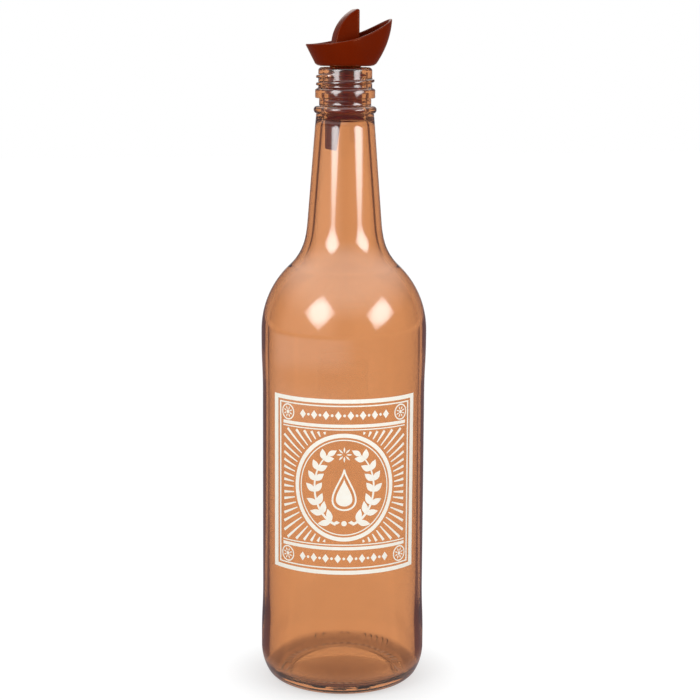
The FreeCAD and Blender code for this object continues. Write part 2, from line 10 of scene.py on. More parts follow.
import bpy
import numpy as np
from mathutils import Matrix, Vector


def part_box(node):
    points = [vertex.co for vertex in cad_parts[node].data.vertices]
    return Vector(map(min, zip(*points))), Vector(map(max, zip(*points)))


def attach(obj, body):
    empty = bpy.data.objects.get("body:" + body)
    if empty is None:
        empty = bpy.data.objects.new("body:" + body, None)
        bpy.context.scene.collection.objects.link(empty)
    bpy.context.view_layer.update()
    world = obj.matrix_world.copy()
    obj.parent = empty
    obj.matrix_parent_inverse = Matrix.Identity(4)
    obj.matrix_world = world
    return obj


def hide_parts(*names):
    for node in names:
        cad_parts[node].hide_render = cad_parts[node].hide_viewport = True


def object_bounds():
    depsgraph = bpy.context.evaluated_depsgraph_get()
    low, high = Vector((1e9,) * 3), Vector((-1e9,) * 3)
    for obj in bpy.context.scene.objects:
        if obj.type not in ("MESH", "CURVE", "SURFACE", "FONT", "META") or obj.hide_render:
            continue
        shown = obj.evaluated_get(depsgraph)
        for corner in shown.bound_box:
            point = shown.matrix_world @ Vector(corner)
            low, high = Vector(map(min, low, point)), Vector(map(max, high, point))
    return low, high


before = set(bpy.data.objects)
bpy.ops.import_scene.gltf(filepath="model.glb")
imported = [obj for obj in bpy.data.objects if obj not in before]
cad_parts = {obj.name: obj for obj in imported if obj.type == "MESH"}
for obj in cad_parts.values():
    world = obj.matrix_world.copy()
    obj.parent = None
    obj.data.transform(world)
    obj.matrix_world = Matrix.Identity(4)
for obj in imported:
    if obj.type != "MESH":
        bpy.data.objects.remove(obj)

cad_low, cad_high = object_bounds()
MM = 0.001
glass_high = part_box("glass_bottle")[1]
MOUTH = glass_high.z / MM  # height of the glass, in millimetres
BELLY = glass_high.x / MM  # its largest radius
CUP_FOOT = MOUTH + 0.5  # underside of the cup, half a millimetre above the mouth
print(f"the glass is {MOUTH:.1f} mm tall and {2 * BELLY:.1f} mm across")

# %% [markdown]
# ## Camera
#
# A studio shot of a bottle is taken from about two and a half bottle heights away, with the
# camera level with the cap and tilted down a little, and a fairly long lens, so that both sides
# of the bottle stay upright. The pourer is turned so that its beak points right and slightly away
# from the camera. Turning the camera round the bottle does that, and leaves the model alone.

# %% The camera
from math import cos, pi, radians, sin, tan

from mathutils import Matrix, Vector

LENS = 92.57  # mm, on a sensor 36 mm wide
TURN, TILT, ROLL = radians(14.0), radians(9.66), radians(0.35)
DISTANCE = 858.6  # mm, from the bottle's middle
ASIDE, HIGHER = 2.95, 0.3  # mm, so that the bottle stands where it should in the frame

turn = Matrix.Rotation(-TURN, 3, "Z")
forward = turn @ Vector((0, cos(TILT), -sin(TILT)))
level, upright = turn @ Vector((1, 0, 0)), turn @ Vector((0, sin(TILT), cos(TILT)))
across = cos(ROLL) * level + sin(ROLL) * upright
up = cos(ROLL) * upright - sin(ROLL) * level
middle = (cad_low + cad_high) / 2 / MM
eye = middle - DISTANCE * forward + ASIDE * across + HIGHER * up

camera = bpy.data.objects.new("camera", bpy.data.cameras.new("camera"))
bpy.context.scene.collection.objects.link(camera)
camera.data.sensor_width, camera.data.lens = 36.0, LENS
camera.data.clip_start, camera.data.clip_end = 0.01, 20.0
axes = Matrix((across, up, -forward)).transposed().to_4x4()
camera.matrix_world = Matrix.Translation(eye * MM) @ axes
bpy.context.scene.camera = camera
print("the camera is at", [round(v) for v in eye], "mm")

# %% [markdown]
# ## Outlines and turned shapes
#
# Nearly every piece here is turned: glass is blown and pressed in round moulds, and the stopper,
# core and tube are round too. So the outline is drawn once, as points of radius and height, and
# carried round the axis. Lines and arcs are enough for every outline. Blender's Screw modifier
# could carry it round, but the thread and the knurls move single points by a formula, and that
# is easiest while the points are still plain arrays.
#
# A shape becomes a grid of points: rows run along the outline and columns run round it. Where
# the outline starts and ends on the axis, the first and last rows are one point each, a pole.
# Where it comes back to its start, as on a tube with a wall, the last row joins the first.

# %% Lines, arcs and outlines
def line(start, end, count=2):
    """Points spread evenly from start to end."""
    return np.linspace(start, end, count)


def arc(centre, radius, start, end, count):
    """Points on a circle: the centre plus the radius times (cosine, sine) of each angle from
    start to end, in degrees."""
    angle = np.radians(np.linspace(start, end, count))
    return np.array(centre) + radius * np.stack([np.cos(angle), np.sin(angle)], axis=1)


def outline(*parts):
    """The parts one after another, without a point that repeats the one before it."""
    points = np.concatenate([np.atleast_2d(part) for part in parts])
    step = np.linalg.norm(np.diff(points, axis=0), axis=1)
    return points[np.concatenate([[True], step > 1e-6])]


def turned(points, angles):
    """Each (radius, height) carried round the axis: x is radius times cosine, y is radius times
    sine, z is height."""
    radius, height = points[:, :1], points[:, 1:]
    return np.stack([radius * np.cos(angles), radius * np.sin(angles), height + 0 * angles], axis=2)


def even_angles(count):
    """Angles spread evenly round the axis, without the last that repeats the first."""
    return np.linspace(0, 2 * np.pi, count, endpoint=False)


quarter = arc((0, 0), 10.0, 0, 90, 40)
length = np.linalg.norm(np.diff(quarter, axis=0), axis=1).sum()
print(f"a quarter circle of radius 10 is {length:.2f} mm long, a little under 5 pi")

# %% [markdown]
# ## Faces of a grid
#
# Blender wants a list of faces, each with the numbers of its corners. On a grid those numbers
# follow a rule, so whole arrays of them come from adding rows and columns, with no loop over the
# points. The order of the corners decides which way a face looks, and glass and shading both
# need every face to look outwards.

# %% Faces of a grid
def grid_faces(rows, columns, poles):
    """Four corners for each cell, wrapping round the columns. With poles, the first and last
    points are single and joined to their rows by triangles; without, the last row joins the
    first."""
    column = np.arange(columns)
    beside = (column + 1) % columns
    if poles:
        low = 1 + columns * np.arange(rows - 3)[:, None]
        high = low + columns
        last = 1 + columns * (rows - 3)
        fans = [np.stack([0 * column, 1 + beside, 1 + column], axis=1),
                np.stack([0 * column + last + columns, last + column, last + beside], axis=1)]
    else:
        low = columns * np.arange(rows)[:, None]
        high = columns * ((np.arange(rows) + 1) % rows)[:, None]
        fans = []
    cells = np.stack([low + column, low + beside, high + beside, high + column], axis=2)
    return [cells.reshape(-1, 4)] + fans


print("a ring of 3 rows and 4 columns has", len(grid_faces(3, 4, False)[0]), "faces")

# %% [markdown]
# ## From grids to a piece
#
# One mesh may be made of several grids, as the flap is of its plate, its pins and its nub. The
# points are in millimetres until the last moment, and the object itself stays at the origin,
# so that its mesh holds its place. The volume is worked out on the way: it comes out less than
# nought when a shape is inside out, which is hard to see and easy to print.

# %% From grids to a piece
def enclosed(grid, poles):
    """Volume inside a closed grid: a sixth of the sum of a . (b x c) over its triangles."""
    ring = grid if poles else np.concatenate([grid, grid[:1]])
    a, b = ring[:-1], np.roll(ring[:-1], -1, axis=1)
    d, c = ring[1:], np.roll(ring[1:], -1, axis=1)
    return float(((a * np.cross(b, c)).sum() + (a * np.cross(c, d)).sum()) / 6)


def skin(name, grids, poles=True, smooth=True):
    """A mesh object from one or several grids in millimetres, with its place in its mesh.
    The volume it prints is more than nought only if its faces point outwards."""
    grids = [grids] if isinstance(grids, np.ndarray) else grids
    points, faces, used, volume = [], [], 0, 0.0
    for grid in grids:
        rows, columns = grid.shape[:2]
        flat = grid[1:-1].reshape(-1, 3) if poles else grid.reshape(-1, 3)
        if poles:
            flat = np.concatenate([grid[0, :1], flat, grid[-1, :1]])
        for block in grid_faces(rows, columns, poles):
            faces += (block + used).tolist()
        points.append(flat)
        used += len(flat)
        volume += enclosed(grid, poles)
    mesh = bpy.data.meshes.new(name)
    mesh.from_pydata((np.concatenate(points) * MM).tolist(), [], faces)
    mesh.polygons.foreach_set("use_smooth", np.full(len(mesh.polygons), smooth))
    mesh.update()
    piece = bpy.data.objects.new(name, mesh)
    bpy.context.scene.collection.objects.link(piece)
    print(f"{name}: {len(mesh.polygons)} faces, {volume / 1000:.2f} ml")
    return piece


drum = turned(outline([0, 0], [10, 0], [10, 10], [0, 10]), even_angles(90))
print(f"a drum of radius and height 10 holds {enclosed(drum, True):.0f} cubic mm, about 1000 pi")

# %% [markdown]
# ## The bottle's outline
#
# The bottle stands on a narrow ring round a pushed-up base. Its heel is a tight arc that runs
# into a wide one, and a slightly wider band at the heel and another under the shoulder keep the
# printed panel from rubbing on its neighbours in a crate. The shoulder is one arc, a second arc
# turns it into the long neck, and the neck leans in by about four degrees up to its collar.
# Above that are the bead, the screw thread and the rolled lip. Inside, the same line comes back
# about three millimetres in. One closed outline gives glass with a real thickness, which is what
# bends light the right way. A Solidify modifier would be quicker, but it gives one thickness
# everywhere, and this glass is thin in its wall and thick in its base.

# %% Sizes of the glass
PANEL, SHOULDER = 38.65, 39.25  # radii of the label panel and of the band under the shoulder
BAND_BLEND = 250.0
STANDING = 29.1  # outer radius of the ring it stands on
DOME, PUSH_UP, BASE_TOP = 91.036, 3.5, 9.0  # the base's curve, and its two heights on the axis
NECK_LEAN, NECK_WALL = 4.45, 3.5
LIP, BORE = 12.6, 9.75
THREAD_TOP = MOUTH - 9.45
SHOULDER_ARC, SHOULDER_RADIUS = (-3.35, 170.6), 42.6
SHOULDER_END = 47.0  # degrees; the arc's normal rises to this, and the neck's foot takes it back
NECK_TOP = np.array((13.6, 272.44))
print(f"the wall leans {NECK_LEAN} degrees on the neck and {SHOULDER_END} where the shoulder ends")

# %% [markdown]
# ## The bend at the neck's foot
#
# A single arc between the shoulder and the neck stops turning all at once, and a reflection
# shows that as a corner: the lamps' streaks would start from the neck's foot with a step. On
# blown glass the bend dies away. So its curvature stays the same for a while and then falls
# evenly to nought, and adding up the curvature gives the directions, and adding up those gives
# the points.

# %% The bend at the neck's foot
def easing_bend(start, lean, count, keep=0.45):
    """Points and outward normals of the bend from the shoulder to the neck's straight line. Its
    curvature is the same up to a share of its length and then falls evenly to nought. The
    normal's lean is the sum of the curvature, the points are the sum of the tangents, and the
    length is the one that puts the end on the line."""
    share = np.linspace(0, 1, 2001)
    curvature = np.minimum(1, (1 - share) / (1 - keep))
    turned_share = np.concatenate([[0], np.cumsum(curvature[1:] + curvature[:-1])])
    turned_share /= turned_share[-1]
    leans = np.radians(lean + (NECK_LEAN - lean) * turned_share)
    tangents = np.stack([-np.sin(leans), np.cos(leans)], axis=1)
    travel = np.concatenate([[[0, 0]], np.cumsum(tangents[1:] + tangents[:-1], axis=0)])
    off_line = np.array([np.cos(leans[-1]), np.sin(leans[-1])])
    length = ((NECK_TOP - start) @ off_line) / (travel[-1] @ off_line)
    rows = np.interp(np.linspace(0, 1, count), (share + turned_share) / 2, np.arange(len(share)))
    rows = np.round(rows).astype(int)
    normals = np.stack([np.cos(leans), np.sin(leans)], axis=1)
    return (start + length * travel)[rows], normals[rows]


shoulder = arc(SHOULDER_ARC, SHOULDER_RADIUS, 0, SHOULDER_END, 30)
neck_foot, neck_foot_normals = easing_bend(shoulder[-1], SHOULDER_END, 25)
print(f"the bend runs from {neck_foot[0, 1]:.1f} to {neck_foot[-1, 1]:.1f} mm up")

# %% [markdown]
# ## Outside of the glass
#
# The outline goes from the axis under the base, out along the push-up, round the heel and up to
# the lip. The collar and the two rings of the screw finish are drawn point by point, because
# their corners are too small to need an arc. The thread isn't here: it is added later as a bump
# on this wall, which is why the wall has so many points there.

# %% Outside of the glass
foot = outline([0, PUSH_UP], arc((0, PUSH_UP - DOME), DOME, 88, 74.4, 12))
ring = line((25.0, 0), (STANDING, 0), 7)
heel = outline(arc((STANDING, 8.5), 8.5, -90, -29, 12), arc((15.8, 15.436), 23.5, -27.54, 0, 26))
body = outline(
    arc((BELLY - BAND_BLEND, 21), BAND_BLEND, 0, 2.6, 7),
    arc((PANEL + BAND_BLEND, 46.487), BAND_BLEND, 182.6, 180, 7),
    line((PANEL, 52), (PANEL, 136), 8),
    arc((PANEL + BAND_BLEND, 141.512), BAND_BLEND, 180, 177.5, 7),
    arc((SHOULDER - BAND_BLEND, 166), BAND_BLEND, -2.5, 0, 7),
)
neck = outline(neck_foot, line(neck_foot[-1], NECK_TOP, 9)[1:])
collar = arc((12.75, MOUTH - 19.65), 2.0, -60, 102, 14)
below_mouth = [
    (12.2, 17.2), (12.2, 14.6), (12.35, 14.35), (13.7, 14.3), (14.0, 14.1), (14.05, 13.8),
    (14.05, 12), (14.05, 10.5), (13.9, 10.2), (12.9, 9.55), (12.65, 9.3),
]
bead = outline(*[[radius, MOUTH - depth] for radius, depth in below_mouth])
thread_wall = line((LIP, MOUTH - 9.1), (LIP, MOUTH - 1.8), 37)
lip = arc((LIP - 1.6, MOUTH - 1.6), 1.6, 0, 90, 8)
outside = outline(foot, ring, heel, body, shoulder, neck, collar, bead, thread_wall, lip)
lowest, highest = outside[:, 1].min(), outside[:, 1].max()
print(f"{len(outside)} points outside, from {lowest:.1f} to {highest:.1f} mm up")

# %% [markdown]
# ## Inside of the glass
#
# Light bends where it enters glass and again where it leaves, so an inside that is a copy of the
# outside looks as wrong as no inside at all. Here the neck and its foot are the outside moved in
# along its own normals, the bore under the lip is straight, the wall of the body is plumb, and
# the floor is a dome. The corner between wall and floor is tight, and shows as an ellipse in
# the bottle's foot.

# %% Inside of the glass
INNER_WALL, INNER_SHOULDER = 35.65, 39.0  # radii of the plumb wall and of the arc above it
CORNER, CORNER_UP = 4.5, 9.85  # radius of the inside corner, and height of its middle

inner_neck_foot = (neck_foot - NECK_WALL * neck_foot_normals)[::-1]
above_foot = (inner_neck_foot[0, 0] - BORE) / np.tan(np.radians(NECK_LEAN))
neck_inside = line((BORE, inner_neck_foot[0, 1] + above_foot), inner_neck_foot[0], 9)
inside = outline(
    arc((BORE + 1, MOUTH - 1), 1.0, 90, 180, 7),
    line((BORE, MOUTH - 3), neck_inside[0] + (0, 0.6), 5),
    neck_inside[1:-1],
    inner_neck_foot,
    arc(SHOULDER_ARC, INNER_SHOULDER, SHOULDER_END - 0.5, 0, 28),
    line((INNER_WALL, 165), (INNER_WALL, 16), 7),
    arc((INNER_WALL - CORNER, CORNER_UP), CORNER, 0, -90, 16),
    arc((0, BASE_TOP - DOME), DOME, 74.2, 88, 12),
    [0, BASE_TOP],
)
fold = np.diff(inside[7:-30, 1]).max()
print(f"the inside only goes down below the lip: its largest rise is {fold:.3f} mm")
wall = outline(outside, inside)
print(f"{len(wall)} points in the whole outline")

# %% [markdown]
# ## The thread
#
# Three things on the glass aren't round: the thread, knurls on the standing ring, and a row of
# dots on the heel. A bump is added to the turned shape for each, a height that depends on the
# angle and on the place along the outline. That keeps the glass one closed skin, where a
# separate ridge laid on it would leave a wall inside the glass, and light would show it.
#
# The thread is one ridge that climbs 3.4 mm a turn for a little over one and a half turns.

# %% The thread
PITCH, TURNS, THREAD_STAND = 3.4, 1.65, 1.05
ROOT, CREST = 2.2, 0.9  # widths of the ridge at its foot and at its top


def ramp(value, low, high):
    """Nought up to low, one from high on, and a smooth S between them."""
    t = np.clip((value - low) / (high - low), 0, 1)
    return t * t * (3 - 2 * t)


def thread_height(angle, height):
    """How far the thread stands out: full within half its crest of a helix that climbs one pitch
    a turn, and falling to nought at half its root; its two ends fade out."""
    total = np.zeros(np.broadcast(angle, height).shape)
    for start in (0, 1):
        along = angle / (2 * np.pi) + start
        off = np.abs(height - (THREAD_TOP + PITCH * along))
        ridge = 1 - ramp(off, CREST / 2, ROOT / 2)
        fade = ramp(along, 0, 0.05) * (1 - ramp(along, TURNS - 0.05, TURNS))
        total = np.maximum(total, THREAD_STAND * ridge * fade)
    return total


half_turn = thread_height(np.pi, THREAD_TOP + PITCH / 2)
print(f"half a turn up, the thread stands out {float(half_turn):.2f} mm")

# %% [markdown]
# ## Knurls and mould dots
#
# The ring that the bottle stands on has short knurls, so that hot glass doesn't crack on a cold
# belt, and the back of the heel carries a row of small raised dots that a mould leaves. Both are
# small, so the columns stand close together where the dots are and wider elsewhere.

# %% Knurls and mould dots
KNURLS, KNURL_DEEP = 48, 0.5
MARKS = np.radians(67.0)  # direction in which the dots face, away from the camera
MARKS_WIDTH = np.radians(68.0)
DOT_PLACES = (-31.5, -26.5, -20.7, -15.2, -10, 4.7, 9.7, 24.6, 31.5)  # degrees from there
DOT_WIDE, DOT_TALL, DOT_STAND = 0.9, 1.7, 0.9  # half width, half height, and how far it stands out
DOT_UP, DOT_RADIUS = 4.6, 37.5  # height above the table, and the heel's radius near it


def bottle_angles():
    """Columns set close together where the dots are and wider elsewhere."""
    close = MARKS - MARKS_WIDTH / 2 + np.linspace(0, MARKS_WIDTH, 110, endpoint=False)
    wide = MARKS + MARKS_WIDTH / 2 + np.linspace(0, 2 * np.pi - MARKS_WIDTH, 190, endpoint=False)
    return np.concatenate([close, wide])


def knurl_depth(angle, radius):
    """Grooves in the standing ring: the positive part of a sine of the angle, between the ring's
    two edges."""
    band = ramp(radius, 25.2, 26.0) * (1 - ramp(radius, 28.2, 29.0))
    return KNURL_DEEP * band * np.clip(np.sin(angle * KNURLS), 0, 1)


def dot_height(angle, height):
    """Round dots in a row at one height: each is one minus the squared distance from its centre,
    in dot radii, where that is above nought."""
    total = np.zeros(np.broadcast(angle, height).shape)
    for place in DOT_PLACES:
        sideways = (angle - MARKS - np.radians(place)) * DOT_RADIUS
        off = (sideways / DOT_WIDE) ** 2 + ((height - DOT_UP) / DOT_TALL) ** 2
        total = np.maximum(total, DOT_STAND * np.clip(1 - off, 0, 1))
    return total


angles = bottle_angles()
print(len(DOT_PLACES), "dots and", KNURLS, "knurls on", len(angles), "columns")

# %% [markdown]
# ## The glass
#
# Now the outline is turned and the bumps are added, each only where it belongs: the thread
# between the bead and the lip, the dots on the outside of the heel, and the knurls on the flat
# ring, which they lift off the table. The piece rides the bottle's body and takes the place of its
# CAD node.

# %% The glass
glass_grid = turned(wall, angles)
facing = np.stack([np.cos(angles), np.sin(angles)], axis=1)
on_outside = (np.arange(len(wall)) < len(outside))[:, None]
radius, height = wall[:, :1], wall[:, 1:]
swing = np.mod(angles, 2 * np.pi)
raised = thread_height(swing, height) * ((height > THREAD_TOP - 1.2) & (height < MOUTH - 1.4))
raised = (raised + dot_height(angles, height) * (radius > 33)) * on_outside
glass_grid[:, :, :2] += raised[:, :, None] * facing
glass_grid[:, :, 2] += knurl_depth(swing, radius) * (on_outside & (height < 0.01))

bottle_glass = skin("bottle_glass", glass_grid)
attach(bottle_glass, "bottle")
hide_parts("glass_bottle")

# %% [markdown]
# ## The stopper
#
# A soft sleeve grips the pourer's core, and five thin ribs round it press on the bore and seal
# it. The outline goes down the inside, up the ribbed outside and back over the top, so this one
# has no poles and closes on itself. Each rib is wide at its root, and its tip is rounded. Rings
# laid on a plain tube would look alike from afar, but would meet it in a hard line.

# %% The stopper
SLEEVE_TOP, SLEEVE_LONG = CUP_FOOT - 2.7, 19.6
SLEEVE_BORE, SLEEVE, BEVEL = 6.55, 7.9, 0.3  # inner and outer radius, and its edges' bevel
RIBS, RIB_PITCH, FIRST_RIB = 5, 4, 1.5
RIB_ROOT, RIB_TIP, RIB_RADIUS = 0.75, 0.35, 9.65


def rib(height):
    """One rib, from above to below: its root, its flank, a half circle at the tip, and back."""
    tip = arc((RIB_RADIUS - RIB_TIP, height), RIB_TIP, 90, -90, 7)
    return outline([SLEEVE, height + RIB_ROOT], tip, [SLEEVE, height - RIB_ROOT])


SLEEVE_END = SLEEVE_TOP - SLEEVE_LONG
ribs = [rib(SLEEVE_TOP - FIRST_RIB - RIB_PITCH * k) for k in range(RIBS)]
sleeve = outline(
    line((SLEEVE_BORE, SLEEVE_TOP), (SLEEVE_BORE, SLEEVE_END), 4),
    line((SLEEVE - BEVEL, SLEEVE_END), (SLEEVE, SLEEVE_END + BEVEL)),
    *[part[::-1] for part in ribs[::-1]],
    line((SLEEVE, SLEEVE_TOP - BEVEL), (SLEEVE - BEVEL, SLEEVE_TOP)),
)
stopper_sleeve = skin("stopper_sleeve", turned(sleeve, even_angles(96)), poles=False)
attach(stopper_sleeve, "stopper")
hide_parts("ribbed_stopper")

# %% [markdown]
# ## The pourer's cup, seen from above
#
# Seen from above, the cup is an egg: a wide circle at the back and a smaller one at the nose,
# with two straight sides that touch both. It grows and leans forward on its way up, so the four
# sizes of that egg are cubics of the height, through four stations.
#
# A point of the wall is given by a place round the egg, a height and an inset. Insetting both
# circles by the same amount gives a parallel wall, so the inner wall and the rounded rim come
# from the same formula. A subdivided box could be pushed into this shape by hand, but then the
# wall's thickness would have to be watched everywhere.

# %% Sizes of the egg
STATIONS = (0.0, 7.0, 14.5, 24.0)  # heights above the cup's underside
REAR, BEAK = (13.6, 17.2, 21.2, 26.3), (13.8, 18.1, 20.9, 22.0)  # how far it reaches both ways
WIDTH, NOSE = (13.6, 15.6, 17.2, 18.2), (12.0, 11.5, 11.0, 10.5)  # radii of its two circles
CUBICS = [np.polyfit(STATIONS, sizes, 3) for sizes in (REAR, BEAK, WIDTH, NOSE)]
NOSE_COLUMNS, SIDE_COLUMNS, REAR_COLUMNS = 48, 14, 84
EGG_COLUMNS = NOSE_COLUMNS + 2 * SIDE_COLUMNS + REAR_COLUMNS


def egg_sizes(height, inset):
    """The two circles of the egg at a height, inset all round: their middles, their radii, and
    the direction in which the straight sides touch both, whose cosine is the difference of the
    radii over the distance between the middles."""
    rear, beak, width, nose = [np.polyval(cubic, height) - inset for cubic in CUBICS]
    back, front = width - rear, beak - nose
    return back, front, width, nose, np.arccos((width - nose) / (front - back))


print("the cup is cubics through", len(STATIONS), "stations, and has", EGG_COLUMNS, "columns")

# %% [markdown]
# ## Points round the egg
#
# The columns go round the nose, along the left side, round the back and along the right side.
# Each column keeps its part of the egg at every height, so the same share of an arc or of a side
# lies above the same share below. That keeps the wall free of twists, which points spread evenly
# by distance would bring in as the egg changes its shape.

# %% Points round the egg
REAR_START, RIGHT_START = NOSE_COLUMNS + SIDE_COLUMNS, EGG_COLUMNS - SIDE_COLUMNS
column = np.arange(EGG_COLUMNS)
on_nose, on_right = column < NOSE_COLUMNS, column >= RIGHT_START
on_left = (column >= NOSE_COLUMNS) & (column < REAR_START)
on_rear = (column >= REAR_START) & (column < RIGHT_START)
share_nose = np.where(on_nose, 2 * column / (NOSE_COLUMNS - 1) - 1, 0)
share_left = np.where(on_left, (column - NOSE_COLUMNS + 1) / (SIDE_COLUMNS + 1), 0)
share_rear = np.where(on_rear, (column - REAR_START) / (REAR_COLUMNS - 1), 0)
share_right = np.where(on_right, (column - RIGHT_START + 1) / (SIDE_COLUMNS + 1), 0)


def egg(height, inset):
    """The egg at a height, inset all round, as x and y with one column for each place. A point of
    an arc is its circle's middle plus its radius in a direction, and points on the straight sides
    run evenly between the two arcs."""
    height, inset = np.broadcast_arrays(np.asarray(height, float), np.asarray(inset, float))
    sizes = egg_sizes(height, inset)
    if height.ndim < 2 or height.shape[1] == 1:
        shape = (height.size, EGG_COLUMNS)
        sizes = [np.broadcast_to(value.reshape(-1, 1), shape) for value in sizes]
    back, front, width, nose, meet = sizes
    turn_nose, turn_rear = share_nose * meet, meet + share_rear * 2 * (np.pi - meet)
    x_nose, y_nose = front + nose * np.cos(turn_nose), nose * np.sin(turn_nose)
    x_rear, y_rear = back + width * np.cos(turn_rear), width * np.sin(turn_rear)
    x_high, y_high = front + nose * np.cos(meet), nose * np.sin(meet)
    x_back, y_back = back + width * np.cos(meet), width * np.sin(meet)
    x, y = np.where(on_nose, x_nose, x_rear), np.where(on_nose, y_nose, y_rear)
    x = np.where(on_left, x_high + share_left * (x_back - x_high), x)
    y = np.where(on_left, y_high + share_left * (y_back - y_high), y)
    x = np.where(on_right, x_back + share_right * (x_high - x_back), x)
    y = np.where(on_right, -y_back + share_right * (y_back - y_high), y)
    return x, y


foot_x, foot_y = egg(0.0, 0.0)
print(f"the cup's foot is {np.ptp(foot_x):.1f} mm long and {np.ptp(foot_y):.1f} mm wide")

# %% [markdown]
# ## The cup's rim, seen from the side
#
# The rim isn't level: seen from the side it is an arc that climbs towards the beak. But the cup
# also spreads as it rises, so how far out a point is depends on how high it is, and how high it
# is depends on how far out it is. Working the height out again and again from the last answer
# settles both, and the rounded rim uses the same function at each of its insets.

# %% The rim
RIM_RADIUS, RIM_LOW, RIM_HEIGHT = 70.4, -17.5, 10.0  # the arc, and where it is lowest


def under_rim(inset, drop):
    """Height of the wall at each place round the egg: the rim's arc above the wall's own x, less
    the drop. The wall's x depends on its height, so the height is worked out again and again
    until it stays the same."""
    height = np.full((1, EGG_COLUMNS), 12.0)
    for _ in range(40):
        x = egg(height, inset)[0]
        height = RIM_HEIGHT + RIM_RADIUS - np.sqrt(RIM_RADIUS**2 - (x - RIM_LOW) ** 2) - drop
    return height


CUP_WALL, HALF = 1.5, 0.75  # the wall, and the radius of its rounded rim
outer_top, inner_top = under_rim(0.0, HALF), under_rim(CUP_WALL, HALF)
print(f"the beak's rim is {outer_top.max() + HALF:.1f} mm above the cup's underside")

# %% [markdown]
# ## The cup's shell
#
# The shell is one grid that goes from under the floor round the foot's edge, up the outside,
# over the rim, down the inside and along the floor, and back to its start. Each row is an egg,
# so the rows only differ in height and inset. Cutting the hollow out of a solid would need its
# edges rounded afterwards, and here every rounding is a few more rows.

# %% The cup's shell
CUP_FLOOR, FLOOR_EDGE = 2.0, 4.5  # height of the floor, and how far in the shell ends
FOOT_ROUND, FLOOR_ROUND = 1.5, 1.2


def wall_row(height, inset):
    """One row of the wall: the egg's x and y at each place, and the height."""
    x, y = egg(height, inset)
    return np.stack([x, y, CUP_FOOT + np.broadcast_to(height, x.shape)], axis=2)


def level_row(height, inset):
    """A row of the wall at one height."""
    return wall_row(np.full((1, 1), height), inset)


def bends(start, end, count):
    """Angles from start to end, in degrees, for the rows of a rounded edge."""
    return np.radians(np.linspace(start, end, count))


rows = [level_row(0.0, inset) for inset in (FLOOR_EDGE, 3.0, 2.0)]
for bend in bends(90, 0, 9):
    rows.append(level_row(FOOT_ROUND * (1 - np.sin(bend)), FOOT_ROUND * (1 - np.cos(bend))))
for share in np.linspace(0, 1, 40)[1:]:
    rows.append(wall_row(FOOT_ROUND + share * (outer_top - FOOT_ROUND), 0.0))
for bend in bends(0, 180, 15)[1:-1]:
    inset, drop = HALF * (1 - np.cos(bend)), HALF * (1 - np.sin(bend))
    rows.append(wall_row(under_rim(inset, drop), inset))
corner = CUP_FLOOR + FLOOR_ROUND
for share in np.linspace(1, 0, 30):
    rows.append(wall_row(corner + share * (inner_top - corner), CUP_WALL))
for bend in bends(0, 90, 7)[1:]:
    inset = CUP_WALL + FLOOR_ROUND * (1 - np.cos(bend))
    rows.append(level_row(corner - FLOOR_ROUND * np.sin(bend), inset))
rows.append(level_row(CUP_FLOOR, FLOOR_EDGE))
cup_shell = skin("cup_shell", np.concatenate(rows), poles=False)

# %% [markdown]
# ## Plates: floor, ears, stop bar and flap
#
# The cup's floor, the two ears that hold the flap, the stop bar and the flap itself are flat
# plates with rounded edges. A plate is its outline carried through its thickness: from the middle
# of one face out to the edge, round the edge, and back to the middle of the other face. That
# works for any outline that can be seen whole from its middle, and like the shell it needs no
# modifier for its rounded edges.

# %% Plates
def inset_outline(points, by):
    """The outline moved inwards along its own normals, which are its tangents turned by a right
    angle."""
    tangent = np.roll(points, -1, axis=0) - np.roll(points, 1, axis=0)
    normal = np.stack([tangent[:, 1], -tangent[:, 0]], axis=1)
    return points - by * normal / np.linalg.norm(normal, axis=1, keepdims=True)


def layered(rows):
    """Rows of flat points, each with how far through the plate it lies, as one grid."""
    return np.stack([np.column_stack([row, np.full(len(row), out)]) for row, out in rows])


def plate(points, half, rounding, rings=4, bends=5):
    """Rows of a plate whose outline goes counter-clockwise: shrunk copies of the outline on the
    lower face, a quarter circle round each edge, and shrunk copies on the upper face. Each point
    is (across, along, through)."""
    middle = points.mean(axis=0)
    flat = inset_outline(points, rounding)
    rows = [(middle + share * (flat - middle), -half) for share in np.linspace(0, 1, rings)[:-1]]
    for bend in np.radians(np.linspace(0, 90, bends)):
        edge = inset_outline(points, rounding * (1 - np.sin(bend)))
        rows.append((edge, -half + rounding * (1 - np.cos(bend))))
    rows += [(row, -through) for row, through in rows[::-1]]
    return layered(rows)


tile = plate(np.array([[-5.0, -5.0], [5.0, -5.0], [5.0, 5.0], [-5.0, 5.0]]), 1.0, 0.2)
print(f"a plate 2 mm thick has {len(tile)} rows, {np.ptp(tile[:, :, 2]):.1f} mm from first to last")

# %% [markdown]
# ## Plates that stand upright
#
# The ears, the bar and the flap all stand up along the cup, so a side view is the natural drawing
# for them. Their outlines need points along the straight edges as well as at the corners, or the
# rounded edge would be cut short there: moving an outline inwards by its neighbours' direction
# only works where the neighbours are near.

# %% Plates that stand upright
def even_outline(points, step):
    """The closed outline with points about one step apart, and its own corners kept."""
    closed = np.concatenate([points, points[:1]])
    pieces = []
    for a, b in zip(closed[:-1], closed[1:]):
        count = max(1, int(round(np.linalg.norm(b - a) / step)))
        pieces.append(np.linspace(a, b, count, endpoint=False))
    return np.concatenate(pieces)


def upright_plate(points, half, rounding, offset=0.0, **more):
    """A plate that stands in the XZ plane: across is x, along is height above the cup's
    underside, and its thickness runs along y. The outline goes counter-clockwise as seen from
    the side of -y."""
    grid = plate(points, half, rounding, **more)
    return np.stack([grid[:, :, 0], offset - grid[:, :, 2], CUP_FOOT + grid[:, :, 1]], axis=2)


